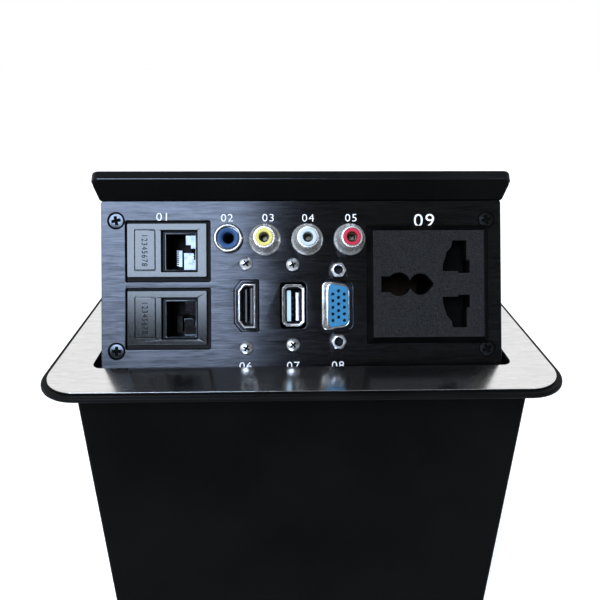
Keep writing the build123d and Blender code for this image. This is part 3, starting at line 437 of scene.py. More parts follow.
def dressed(node, material, body, slot, width=0.3, crease=32):
    # a merged copy of a CAD node with its sharp edges broken by a width in millimetres
    mesh = cadNodes[node].data.copy()
    bm = bmesh.new()
    bm.from_mesh(mesh)
    bmesh.ops.remove_doubles(bm, verts=bm.verts, dist=2e-6)
    bmesh.ops.dissolve_limit(bm, angle_limit=radians(0.6), verts=bm.verts, edges=bm.edges)
    bm.to_mesh(mesh)
    bm.free()
    words = node.split("_")
    name = words[0] + "".join(word.capitalize() for word in words[1:])
    piece = finishPiece(name, mesh, material, body, slot, node, crease=crease, weighted=False)
    if width:
        edges = piece.modifiers.new("brokenEdges", "BEVEL")
        edges.width = width * mm
        edges.segments = 2
        edges.limit_method = "ANGLE"
        edges.angle_limit = radians(crease)
    piece.modifiers.new("flatFaces", "WEIGHTED_NORMAL")


frameSize = {
    "opening": (147.2, 100.0, 3.5),  # width, depth, corner radius
    "plate": (173.8, 130.0, 13.0),
    "plateTop": 2.5,
    "skinFoot": 2.3,  # the silver skin is thin, and the core below it black
    "plateFoot": 1.7,
    "plateEdge": 0.05,
    "coreInset": 0.03,
}


def drawFrameSheet(bm, levels):
    plate = roundedRect(*frameSize["plate"], steps=14)
    cutBlock(bm, plate, levels, [(roundedRect(*frameSize["opening"]), levels, False)])


skinLevels = edgeRings(frameSize["plateTop"], frameSize["skinFoot"], frameSize["plateEdge"])
coreLevels = [
    (frameSize["coreInset"], frameSize["skinFoot"] + 0.02), (frameSize["coreInset"], frameSize["plateFoot"]),
]
shapePiece(
    "facePlate", lambda bm: drawFrameSheet(bm, skinLevels), toMetres,
    "brushedAluminium", "housing", "brushed_silver", "face_plate",
)
shapePiece(
    "plateCore", lambda bm: drawFrameSheet(bm, coreLevels), toMetres,
    "glossEnamel", "housing", "gloss_black", "face_plate",
)
dressed("bezel_frame", "glossEnamel", "housing", "gloss_black", 0.0)
dressed("housing", "powderCoat", "housing", "black_sheet", 0.25)
dressed("bottom_plate", "powderCoat", "housing", "black_sheet", 0.25)
dressed("cable_grommets", "blackRubber", "housing", "black_rubber", 0.0)
dressed("earth_stud", "rolledBrass", "housing", "brass", 0.2)
dressed("hinge_brackets", "blackAbs", "housing", "black_plastic", 0.3)
dressed("stop_bumpers", "blackRubber", "housing", "black_rubber", 0.25)
dressed("damper_body", "damperPlastic", "housing", "damper_plastic", 0.15)
dressed("latch_body", "blackAbs", "housing", "black_plastic", 0.3)
dressed("damper_pinion", "naturalNylon", "pinion", "white_nylon", 0.05)
dressed("latch_plunger", "naturalNylon", "plunger", "white_nylon", 0.0)
print("frame and housing made")

# the rolled lower edge along the lid's front, in a brighter metal than the lid as a painted highlight for the
# bright line along that edge, which also mirrors the window: left and right, back and front, low and high
lidNose = ((-70.6, 70.6), (-49.26, -48.7), (-0.85, -0.5))

dressed("lid_plate", "satinBlack", "lid", "black_anodised", 0.0)
shapePiece(
    "lidNose", lambda bm: box(bm, *lidNose), lidFrame, "blackZinc", "lid", "black_anodised", "lid_plate"
)
dressed("cradle", "powderCoat", "lid", "black_sheet", 0.15)
dressed("hinge_rod", "zincSteel", "lid", "zinc_steel", 0.15)
dressed("damper_sector", "naturalNylon", "lid", "white_nylon", 0.05)
dressed("latch_keeper", "zincSteel", "lid", "zinc_steel", 0.2)
dressed("rear_cover", "powderCoat", "lid", "black_plastic", 0.2)
dressed("lid_nuts", "zincSteel", "lid", "zinc_steel", 0.2)
print("lid made")


def clippedCorner(width, height, clip):
    # a slot on end with its two left corners cut off
    x, y = width / 2, height / 2
    inner, low = -x + clip[0], y - clip[1]
    return [(x, -y), (x, y), (inner, y), (-x, low), (-x, -low), (inner, -y)]


def clippedBoth(width, height, clip):
    # a rectangle with all four corners cut off
    x, y = width / 2, height / 2
    return [
        (x, -y + clip), (x, y - clip), (x - clip, y), (-x + clip, y),
        (-x, y - clip), (-x, -y + clip), (-x + clip, -y), (x - clip, -y),
    ]


def tapered(width, height, taper):
    # a D on end, its wide side on the left
    x, y = width / 2, height / 2
    return [(x, -y + taper), (x, y - taper), (-x, y), (-x, -y)]


# middles on the panel: across, up the slope
networkAt = {"upper": (-47.5, 39.1), "lower": (-47.5, 15.3)}
audioAt = (-26.2, 43.6)
phonoAt = {"yellow": (-13.3, 43.1), "white": (1.65, 43.1), "red": (16.7, 43.1)}
digitalAt = (-19.9, 19.7)
dataAt = (-3.4, 19.8)
fifteenAt = (12.3, 19.6)
postReach = 12.495  # half of the jack posts' standard spacing
postsAt = [(fifteenAt[0], fifteenAt[1] - postReach), (fifteenAt[0], fifteenAt[1] + postReach)]
mainsAt = (44.4, 27.0)
portScrewsAt = [(-20.0, 34.7), (-20.0, 4.8), (-3.55, 34.2), (-3.55, 5.8)]
cornerScrewsAt = [(-65.7, 50.0), (65.7, 50.0), (-65.7, 4.0), (65.7, 4.0)]

panelSize = {
    "width": 142.0,
    "low": -8.0,
    "high": 57.0,
    "thickness": 2.0,
    "radius": 1.0,
    "edge": (0.3, 0.2),  # rounding of the front and back edges
    "cutEdge": 0.25,
    "lip": (-68.0, 68.0, 4.0),  # left, right, how far the lip at the foot stands out
    "lipBack": -1.0,
    "sink": [(1.62, 0.0), (1.55, -0.1), (1.5, -0.6), (0.0, -1.5)],  # countersinks, from the top down
}

panelCuts = {
    "cornerScrew": 1.5,  # round holes are given by their radius
    "network": (29.8, 21.6, 0.6),
    "audio": 3.6,
    "phono": 4.2,
    "digital": (8.8, 18.4, (2.6, 3.2)),
    "digitalRound": 0.5,
    "data": (9.2, 16.4, 1.4),
    "fifteen": (10.6, 19.6, 1.8),
    "fifteenRound": 1.8,
    "post": 1.6,
    "mains": (39.6, 37.2, 1.0),
    "portScrew": 1.55,
}


def drawPanel(bm):
    size, cut = panelSize, panelCuts
    back = -size["thickness"]
    digital = roundCorners(clippedCorner(*cut["digital"]), cut["digitalRound"])
    fifteen = roundCorners(tapered(*cut["fifteen"]), cut["fifteenRound"])
    outlines = [roundedRect(*cut["network"], *place) for place in networkAt.values()]
    outlines.append(circle(cut["audio"], *audioAt))
    outlines += [circle(cut["phono"], *place) for place in phonoAt.values()]
    outlines.append(moved(digital, *digitalAt))
    outlines.append(roundedRect(*cut["data"], *dataAt))
    outlines.append(moved(fifteen, *fifteenAt))
    outlines += [circle(cut["post"], *place) for place in postsAt]
    outlines.append(roundedRect(*cut["mains"], *mainsAt))
    outlines += [circle(cut["portScrew"], *place) for place in portScrewsAt]
    sunk, through = [*size["sink"], (0.0, back)], edgeRings(0.0, back, size["cutEdge"], steps=2)
    holes = [(circle(cut["cornerScrew"], *place), sunk, False) for place in cornerScrewsAt]
    holes += [(outline, through, False) for outline in outlines]
    height, middle = size["high"] - size["low"], (size["low"] + size["high"]) / 2
    outer = roundedRect(size["width"], height, size["radius"], 0, middle)
    cutBlock(bm, outer, edgeRings(0.0, back, *size["edge"]), holes)
    left, right, out = size["lip"]
    lipTop = size["low"] + size["thickness"]
    box(bm, (left, right), (size["low"], lipTop), (size["lipBack"], out), 0.3)


shapePiece("socketPanel", drawPanel, panelFrame, "blackAnodised", "lid", "black_anodised", "socket_panel")
print("socket panel made")


networkSize = {
    "flange": (29.6, 21.4, 0.5),
    "flangeTop": -0.9,  # the snap-in flange lies below the panel and shows as a dark border
    "flangeFoot": -2.6,
    "flangeEdge": 0.2,
    "face": (27.9, 19.0, 0.5),
    "faceAt": (-0.35, 0.4),  # the face sits up and left in its flange
    "faceTop": 0.3,
    "faceEdges": (0.16, 0.12),  # rounding outside and round the window
    "window": (12.8, 14.8, 0.3),
    "windowAt": (4.0, 0.1),
    "label": (7.4, 14.8, 0.4),
    "labelAt": (-8.05, 0.45),
    "labelDepth": 0.5,
    "labelBevel": 0.06,
    "labelField": (0.1, 0.14),  # how far the field stands out, and its rounding
    "groove": 0.22,
    "sleeve": (16.4, 18.2, 0.6),
    "sleeveTop": -2.0,
    "sleeveFoot": -17.0,
    "sleeveEdges": (0.3, 0.2),
}


def drawNetworkFlange(bm):
    size = networkSize
    window = roundedRect(*size["window"], *size["windowAt"])
    sleeve = roundedRect(*size["sleeve"], *size["windowAt"])
    plate, tube = (size["flangeTop"], size["flangeFoot"]), (size["sleeveTop"], size["sleeveFoot"])
    outside, inside = size["sleeveEdges"]
    cutBlock(
        bm, roundedRect(*size["flange"]), edgeRings(*plate, size["flangeEdge"]),
        [(window, edgeRings(*plate), False)],
    )
    cutBlock(
        bm, sleeve, edgeRings(*tube, 0.0, outside), [(window, edgeRings(*tube, 0.0, inside), False)]
    )


def drawNetworkFace(bm):
    # the face, and the label field that a fine groove sets off from it
    size = networkSize
    top, low = size["faceTop"], size["flangeTop"] - 0.1
    window = roundedRect(*size["window"], *size["windowAt"])
    label = roundedRect(*size["label"], *size["labelAt"])
    bevel, floor = size["labelBevel"], top - size["labelDepth"]
    outside, inside = size["faceEdges"]
    cutBlock(
        bm, roundedRect(*size["face"], *size["faceAt"]), edgeRings(top, low, outside), [
            (window, edgeRings(top, low, inside), False),
            (label, [(bevel, top), (0.0, top - bevel), (0.0, floor)], True),
        ],
    )
    width, height, radius = size["label"]
    gap = 2 * size["groove"]
    field = roundedRect(width - gap, height - gap, radius, *size["labelAt"])
    out, edge = size["labelField"]
    cutBlock(bm, field, edgeRings(top + out, floor - 0.1, edge, steps=2))


jackSize = {
    "block": (12.6, 14.6, 0.3),
    "mouth": (10.9, 13.2, 0.3),
    "mouthAt": (0.3, -0.2),
    "front": -1.0,
    "foot": -20.0,
    "edge": 0.3,
    "mouthRings": [(0.12, -1.0), (0.0, -1.2), (0.0, -15.0)],
    "rimWidth": 0.25,
    "rimDepth": 3.0,
    "carrierTop": -3.4,  # front and foot of the contact carrier inside
    "carrierFoot": -13.0,
    "carrier": [  # its stepped outline, from the lower right corner
        (5.45, -6.5), (5.45, 6.1), (1.6, 6.1), (1.6, 2.4), (3.4, 2.4), (3.4, 1.1),
        (5.0, 1.1), (5.0, -2.8), (4.6, -2.8), (4.6, -0.4), (0.95, -0.4), (0.95, -6.5),
    ],
    "comb": (-1.65, -0.85, 0.35),  # tips of its teeth, the gaps between them, and its back
    "combTop": 0.55,
    "combPitch": 0.74,
    "contacts": 8,
}
carrierTurn = {"upper": 0.0, "lower": 4.0}  # degrees that each carrier leans in its cavity


def drawNetworkJack(bm):
    size = jackSize
    cutBlock(
        bm, roundedRect(*size["block"]), edgeRings(size["front"], size["foot"], size["edge"], size["edge"]),
        [(roundedRect(*size["mouth"], *size["mouthAt"]), size["mouthRings"], True)],
    )


def drawJackRim(bm):
    # the folded edge of the shield, a thin line round the mouth
    width, height, radius = jackSize["mouth"]
    inset = 2 * jackSize["rimWidth"]
    top = jackSize["front"] + 0.1
    levels = edgeRings(top, top - jackSize["rimDepth"] - 0.1, 0.08, steps=2)
    outer = roundedRect(width + 0.1, height + 0.1, radius, *jackSize["mouthAt"])
    inner = roundedRect(width - inset, height - inset, radius, *jackSize["mouthAt"])
    cutBlock(bm, outer, levels, [(inner, levels, False)])


def drawContactCarrier(bm):
    # the stepped block on the right of the cavity, and the comb that guides the contacts
    size = jackSize
    top, foot = size["carrierTop"], size["carrierFoot"]
    cutBlock(bm, size["carrier"], edgeRings(top, foot, 0.1, steps=2))
    tip, root, back = size["comb"]
    high, pitch = size["combTop"], size["combPitch"]
    comb = [(back, high - size["contacts"] * pitch), (back, high)]
    for contact in range(size["contacts"]):
        start = high - contact * pitch
        comb += [(tip, start), (tip, start - pitch * 0.5)]
        comb += [(root, start - pitch * 0.56), (root, start - pitch * 0.94)]
    cutBlock(bm, comb, edgeRings(top - 0.3, foot, 0.05, steps=1))


for name, (across, up) in networkAt.items():
    middle = onPanel(across, up)
    inside = onPanel(across + networkSize["windowAt"][0], up + networkSize["windowAt"][1])
    leaning = inside @ Matrix.Rotation(radians(carrierTurn[name]), 4, "X")
    for piece, draw, place, material, slot, part, crease in (
        ("NetworkFlange", drawNetworkFlange, middle, "blackRubber", "black_plastic", "frame", 40),
        ("NetworkFace", drawNetworkFace, middle, "blackAbs", "black_plastic", "frame", 40),
        ("NetworkJack", drawNetworkJack, inside, "jackNylon", "jack_black", "jack", 50),
        ("JackRim", drawJackRim, inside, "blackZinc", "jack_black", "jack", 50),
        ("ContactCarrier", drawContactCarrier, leaning, "smokedChrome", "jack_black", "jack", 40),
    ):
        shapePiece(
            name + piece, draw, place, material, "lid", slot, name + "_network_" + part, crease=crease
        )
print("network sockets made")


audioProfiles = {  # radius and height of each point
    "barrel": [
        (3.0, -8.0), (3.55, -8.0), (3.55, 0.02), (5.0, 0.02), (5.15, 0.15), (5.15, 1.3),
        (5.1, 1.75), (4.96, 2.12), (4.75, 2.38), (4.5, 2.5), (4.26, 2.44), (4.1, 2.28),
        (4.0, 2.0), (3.97, 1.6), (3.97, 0.5), (3.0, 0.4),
    ],
    "insulator": [
        (2.05, -7.5), (2.95, -7.5), (2.95, 0.6), (3.72, 0.6), (3.72, 1.7), (3.66, 1.95), (3.5, 2.08),
        (3.3, 2.1), (2.9, 2.02), (2.75, 1.94), (2.6, 1.75), (2.15, 1.35), (2.05, 1.1),
    ],
}
shapePiece(
    "audioJackBarrel", lambda bm: turned(bm, audioProfiles["barrel"]), onPanel(*audioAt),
    "nickelPlate", "lid", "nickel", "audio_jack_barrel",
)
shapePiece(
    "audioJackInsulator", lambda bm: turned(bm, audioProfiles["insulator"]), onPanel(*audioAt),
    "deepBluePlastic", "lid", "blue_plastic", "audio_jack_insulator",
)
dressed("audio_jack_body", "jackNylon", "lid", "jack_black", 0.3)

phonoTip, phonoSleeve, phonoBore = 8.6, 3.72, 3.02
phonoProfiles = {
    "shell": [
        (phonoBore, -9.0), (4.0, -9.0), (4.0, 0.0), (5.5, 0.0), (5.62, 0.1), (5.65, 0.5), (5.55, 0.8),
        (5.3, 1.05), (4.9, 1.5), (4.5, 2.2), (4.2, 3.1), (4.0, 4.2), (phonoSleeve + 0.12, 5.6),
        (phonoSleeve, 6.6), (phonoSleeve, phonoTip - 0.75), (phonoSleeve - 0.06, phonoTip - 0.55),
        (phonoSleeve - 0.2, phonoTip - 0.42), (phonoBore + 0.15, phonoTip - 0.4), (phonoBore, phonoTip - 0.5),
    ],
    "insulator": [
        (1.75, -8.5), (3.0, -8.5), (3.0, phonoTip - 0.4), (2.95, phonoTip - 0.18), (2.82, phonoTip - 0.04),
        (2.7, phonoTip), (2.2, phonoTip), (1.95, phonoTip - 0.08), (1.8, phonoTip - 0.25),
        (1.75, phonoTip - 0.5),
    ],
    "contact": [
        (0.0, -16.0), (1.73, -16.0), (1.73, 6.4), (1.65, 6.6), (1.5, 6.7), (1.3, 6.65), (1.1, 6.4),
        (1.0, 5.9), (1.0, 3.0), (0.0, 3.0),
    ],
}
phonoNut = {"across": 11.0, "bore": 4.02, "top": -2.02, "foot": -4.6}


def hexagon(across, x, y):
    # given by the distance across its flats
    return circle(across / 2 / cos(pi / 6), x, y, 6)


def drawPhonoContacts(bm):
    for place in phonoAt.values():
        turned(bm, phonoProfiles["contact"], *place, 32)


def drawPhonoNuts(bm):
    span = phonoNut["top"], phonoNut["foot"]
    for place in phonoAt.values():
        bore = circle(phonoNut["bore"], *place)
        cutBlock(
            bm, hexagon(phonoNut["across"], *place), edgeRings(*span, 0.25, 0.35, 2),
            [(bore, edgeRings(*span, 0.2, 0.2, 1), False)],
        )


for name, place in phonoAt.items():
    shapePiece(
        name + "PhonoShell", lambda bm: turned(bm, phonoProfiles["shell"], steps=64), onPanel(*place),
        "satinNickel", "lid", "nickel", name + "_phono_shell", crease=35,
    )
    shapePiece(
        name + "PhonoInsulator", lambda bm: turned(bm, phonoProfiles["insulator"], steps=64), onPanel(*place),
        name + "Plastic", "lid", name + "_plastic", name + "_phono_insulator",
    )
# the phono contacts' dark colour is painted shade for the depth of their bores
shapePiece("phonoContacts", drawPhonoContacts, panelFrame, "darkBronze", "lid", "nickel", "phono_contacts")
shapePiece("phonoNuts", drawPhonoNuts, panelFrame, "nickelPlate", "lid", "nickel", "phono_nuts")
print("audio and phono jacks made")


digitalSize = {  # width, height, how much of the two left corners is cut off, corner radius
    "collar": (8.6, 18.2, (2.5, 3.1), 0.5),
    "collarMouth": (7.3, 16.9, (2.2, 2.8), 0.4),
    "ledge": (7.0, 16.6, (2.1, 2.7), 0.4),
    "ledgeMouth": (5.9, 15.5, (1.85, 2.45), 0.3),
    "shell": (5.8, 15.4, (1.85, 2.45), 0.3),
    "shellMouth": (5.1, 14.7, (1.6, 2.1), 0.2),
    "lining": (5.05, 14.65, (1.58, 2.08), 0.2),
    "liningMouth": (4.6, 14.2, (1.45, 1.95), 0.2),
}
digitalRings = {  # how far each edge stands in from its outline, and its height, from the front back
    "collar": [(0.16, 0.1), (0.04, 0.04), (0.0, -0.1), (0.0, -12.0)],
    "collarMouth": [(0.1, 0.1), (0.0, 0.0), (0.0, -12.0)],
    "ledge": [(0.14, -0.05), (0.03, -0.12), (0.0, -0.3), (0.0, -12.0)],
    "ledgeMouth": [(0.2, -0.05), (0.06, -0.12), (0.0, -0.3), (0.0, -12.0)],
    "shell": edgeRings(0.16, -13.0, 0.15, 0.1, 2),
    "shellMouth": [(0.1, 0.16), (0.0, 0.05), (0.0, -12.4)],
    "lining": [(0.0, -0.5), (0.0, -12.3)],
    "liningMouth": [(0.1, -0.5), (0.0, -0.6), (0.0, -11.5)],
}
digitalTongue = ((-0.6, -0.05), (-5.9, 5.9), (-11.6, -1.4))
digitalWall = ((1.25, 2.0), (-6.4, 6.4), (-11.6, -0.9))


def digitalOutline(part):
    *size, radius = digitalSize[part]
    return roundCorners(clippedCorner(*size), radius)


def drawDigitalPart(bm, part, blind=True):
    # one of the nested walls with its mouth
    mouth = part + "Mouth"
    cutBlock(
        bm, digitalOutline(part), digitalRings[part], [(digitalOutline(mouth), digitalRings[mouth], blind)]
    )


def drawDigitalCollar(bm):
    # steps down to the shell, so the cut-out shows as nested outlines
    drawDigitalPart(bm, "collar", False)
    drawDigitalPart(bm, "ledge", False)


def drawDigitalTongue(bm):
    box(bm, *digitalTongue, 0.1)
    box(bm, *digitalWall, 0.1)


dataSize = {
    "shell": (6.8, 13.8, 1.1),  # width, height, how much of the corners is cut off
    "shellMouth": (5.8, 12.8, 0.9),
    "lining": (5.7, 12.7, 0.3),
    "liningMouth": (5.1, 12.1, 0.3),
    "tongue": ((-2.3, -0.8), (-5.7, 5.3), (-11.6, -1.0)),
    "wall": ((0.9, 2.2), (-5.7, 4.6), (-11.6, -2.6)),  # sprung, on the right
    "contacts": (2.6, 0.6, -1.4, -3.4),  # their heights, in a row on the tongue's right
    "contact": ((-0.75, 0.25), 0.45, (-11.6, -1.3)),
}
dataRings = {
    "shell": [(-0.5, 0.6), (-0.58, 0.5), (-0.55, 0.3), (-0.3, -0.05), (0.0, -0.4), (0.0, -13.0)],
    "shellMouth": [(0.3, 0.6), (0.12, 0.5), (0.0, 0.2), (0.0, -12.4)],
    "lining": [(0.0, -0.4), (0.0, -12.3)],
    "liningMouth": [(0.1, -0.4), (0.0, -0.5), (0.0, -11.5)],
}


def drawDataShell(bm):
    # four flared lips with the corners cut off between them
    cutBlock(
        bm, clippedBoth(*dataSize["shell"]), dataRings["shell"],
        [(clippedBoth(*dataSize["shellMouth"]), dataRings["shellMouth"], True)],
    )


def drawDataLining(bm):
    # black inside, with a row of four contacts
    cutBlock(
        bm, roundedRect(*dataSize["lining"]), dataRings["lining"],
        [(roundedRect(*dataSize["liningMouth"]), dataRings["liningMouth"], True)],
    )
    across, half, span = dataSize["contact"]
    for middle in dataSize["contacts"]:
        box(bm, across, (middle - half, middle + half), span, 0.12)


fifteenSize = {  # width, height, taper, corner radius
    "ring": (9.6, 18.1, 1.5, 2.4),
    "flangeMouth": (7.6, 16.3, 1.3, 2.0),
    "shell": (7.5, 16.2, 1.3, 2.0),
    "shellMouth": (7.0, 15.7, 1.25, 1.8),
    "insert": (6.9, 15.6, 1.25, 1.75),
}
fifteenRings = {
    "ring": [(0.5, 0.75), (0.3, 0.7), (0.12, 0.55), (0.02, 0.3), (0.0, 0.0), (0.0, -2.1)],
    "ringMouth": [(-0.25, 0.75), (-0.1, 0.68), (0.0, 0.5), (0.0, -2.1)],
    "shell": edgeRings(3.9, -2.4, 0.1, 0.0, 2),
}
fifteenFlange = {"plate": (12.6, 30.9, 1.0), "top": -2.05, "foot": -2.85, "postHole": 1.55}
ringShift = -0.85  # the bright ring stands out further on the left


def fifteenOutline(part):
    *size, radius = fifteenSize[part]
    return roundCorners(tapered(*size), radius, 8)


def drawFifteenFlange(bm):
    span = fifteenFlange["top"], fifteenFlange["foot"]
    hole = fifteenFlange["postHole"]
    posts = [(circle(hole, 0, side * postReach), edgeRings(*span), False) for side in (-1, 1)]
    cutBlock(
        bm, roundedRect(*fifteenFlange["plate"]), edgeRings(*span, 0.2, 0.1, 2),
        [(fifteenOutline("flangeMouth"), edgeRings(*span), False), *posts],
    )


def drawFifteenShell(bm):
    # the bright ring, and the thin wall that stands out of it
    shell, wall = fifteenOutline("shell"), fifteenRings["shell"]
    cutBlock(
        bm, moved(fifteenOutline("ring"), ringShift, 0), fifteenRings["ring"],
        [(shell, fifteenRings["ringMouth"], False)],
    )
    cutBlock(bm, shell, wall, [(fifteenOutline("shellMouth"), wall, False)])


jackPost = {
    "across": 4.75,
    "corner": 0.9,
    "rings": [(0.5, 4.8), (0.36, 4.74), (0.0, 4.45), (0.0, 0.3), (0.15, 0.02)],
    "thread": 1.55,
    "mouthRings": [(0.2, 4.8), (0.0, 4.6), (0.0, 0.6)],
    "shank": 1.5,
    "foot": -6.0,
    # the lining is painted shade: a dark tube set in the threaded hole
    "lining": (0.02, 0.25),  # the dark lining inside the thread: its gap, and its inner wall
    "shadeLiningSpan": (0.62, 4.35),
    "shadeLiningFloor": 1.2,
}


def drawJackPosts(bm):
    post = jackPost
    shank, foot = post["shank"], post["foot"]
    profile = [(0.0, foot), (shank - 0.15, foot), (shank, foot + 0.2), (shank, 0.1), (0.0, 0.1)]
    for place in postsAt:
        cutBlock(
            bm, roundCorners(hexagon(post["across"], *place), post["corner"], 3), post["rings"],
            [(circle(post["thread"], *place, 24), post["mouthRings"], True)],
        )
        turned(bm, profile, *place, 24)


def drawPostHoleShades(bm):
    # a dark metal tube lining the threaded hole of each post: painted shade for the dark inside the hole
    outer, inner = (jackPost["thread"] - gap for gap in jackPost["lining"])
    (foot, top), floor = jackPost["shadeLiningSpan"], jackPost["shadeLiningFloor"]
    profile = [(0.0, foot), (outer, foot), (outer, top), (inner, top), (inner, floor), (0.0, floor)]
    for place in postsAt:
        turned(bm, profile, *place, 24)


digitalPlace, dataPlace, fifteenPlace = onPanel(*digitalAt), onPanel(*dataAt), onPanel(*fifteenAt)
for name, draw, place, material, slot, node in (
    ("digitalVideoCollar", drawDigitalCollar, digitalPlace, "blackAnodised", "black_plastic",
     "digital_video_collar"),
    ("digitalVideoShell", lambda bm: drawDigitalPart(bm, "shell"), digitalPlace, "satinNickel", "nickel",
     "digital_video_shell"),
    ("digitalVideoLining", lambda bm: drawDigitalPart(bm, "lining"), digitalPlace, "greyNylon",
     "jack_black", "digital_video_tongue"),
    ("digitalVideoTongue", drawDigitalTongue, digitalPlace, "greyNylon", "jack_black",
     "digital_video_tongue"),
    ("dataPortShell", drawDataShell, dataPlace, "nickelPlate", "nickel", "data_port_shell"),
    ("dataPortLining", drawDataLining, dataPlace, "jackNylon", "jack_black", "data_port_tongue"),
    ("dataPortWall", lambda bm: box(bm, *dataSize["wall"], 0.2), dataPlace, "brightZinc", "nickel",
     "data_port_shell"),
    ("dataPortTongue", lambda bm: box(bm, *dataSize["tongue"]), dataPlace, "palePlastic",
     "pale_blue_plastic", "data_port_tongue"),
    ("fifteenPinShell", drawFifteenShell, fifteenPlace, "nickelPlate", "nickel", "fifteen_pin_shell"),
    ("fifteenPinFlange", drawFifteenFlange, fifteenPlace, "blackOxide", "nickel", "fifteen_pin_shell"),
    # a dark lining in each post's threaded hole, painted shade
    ("postHoleShades", drawPostHoleShades, panelFrame, "blackOxide", "nickel", "jack_posts"),
):
    shapePiece(name, draw, place, material, "lid", slot, node)
shapePiece("jackPosts", drawJackPosts, panelFrame, "brightZinc", "lid", "nickel", "jack_posts", crease=25)
print("narrow ports made")


def newTree(name, sizes):
    # a geometry tree with the mesh, one named input for each size, and the material
    tree = bpy.data.node_groups.new(name, "GeometryNodeTree")
    inputs = [("Geometry", "Geometry"), *((size, "Float") for size in sizes), ("Finish", "Material")]
    for label, kind in inputs:
        tree.interface.new_socket(label, in_out="INPUT", socket_type="NodeSocket" + kind)
    tree.interface.new_socket("Geometry", in_out="OUTPUT", socket_type="NodeSocketGeometry")
    return tree, addNode(tree, "NodeGroupInput").node.outputs


def closeTree(tree, geometry, given):
    # real geometry with its material, ready to be made a plain mesh
    real = addNode(tree, "GeometryNodeRealizeInstances", (geometry,))
    done = addNode(tree, "GeometryNodeSetMaterial", {"Geometry": real, "Material": given["Finish"]})
    addNode(tree, "NodeGroupOutput", (done,))


def workOut(tree, values, steps):
    # a chain of sums: each step names its result, then the sum and what goes into it
    for result, operation, *terms in steps:
        sockets = [values[term] if isinstance(term, str) else term for term in terms]
        values[result] = addNode(tree, "ShaderNodeMath", sockets, operation=operation)


plainInputs = ("Foot Share", "Edge Round", "Turns")  # all other inputs are lengths in millimetres


def grow(name, base, tree, sizes, material, body, slot, *nodes, place=toMetres, crease=35):
    # runs a geometry tree on a base mesh and keeps the result as a plain mesh
    source = bpy.data.objects.new(name + "Source", base)
    scene.collection.objects.link(source)
    modifier = source.modifiers.new("grow", "NODES")
    modifier.node_group = tree
    for item in tree.interface.items_tree:
        if item.name in sizes:
            modifier[item.identifier] = sizes[item.name] * (1.0 if item.name in plainInputs else mm)
        elif item.name == "Finish":
            modifier[item.identifier] = materials[material]
    bpy.context.view_layer.update()
    seen = source.evaluated_get(bpy.context.evaluated_depsgraph_get())
    mesh = bpy.data.meshes.new_from_object(seen)
    bpy.data.objects.remove(source)
    mesh.transform(place @ toMetres.inverted())
    finishPiece(name, mesh, material, body, slot, *nodes, crease=crease)


panScrew = {
    "Head Radius": 2.35, "Head Height": 1.7, "Foot Share": 1.0, "Edge Round": 0.2, "Dome": 0.5,
    "Cross Width": 2.5, "Cross Arm": 0.7, "Cross Depth": 1.1, "Shank Radius": 1.5, "Shank Length": 6.0,
}
flushScrew = {
    "Head Radius": 2.42, "Head Height": 1.4, "Foot Share": 0.63, "Edge Round": 0.0, "Dome": 0.15,
    "Cross Width": 3.3, "Cross Arm": 1.15, "Cross Depth": 1.0, "Shank Radius": 1.47, "Shank Length": 6.5,
}
wallScrew = {
    "Head Radius": 2.4, "Head Height": 1.4, "Foot Share": 1.0, "Edge Round": 0.18, "Dome": 0.3,
    "Cross Width": 2.7, "Cross Arm": 0.65, "Cross Depth": 0.8, "Shank Radius": 1.25, "Shank Length": 3.0,
}
coverScrew = {
    "Head Radius": 2.3, "Head Height": 1.0, "Foot Share": 1.0, "Edge Round": 0.18, "Dome": 0.2,
    "Cross Width": 2.6, "Cross Arm": 0.6, "Cross Depth": 0.6, "Shank Radius": 1.22, "Shank Length": 4.0,
}


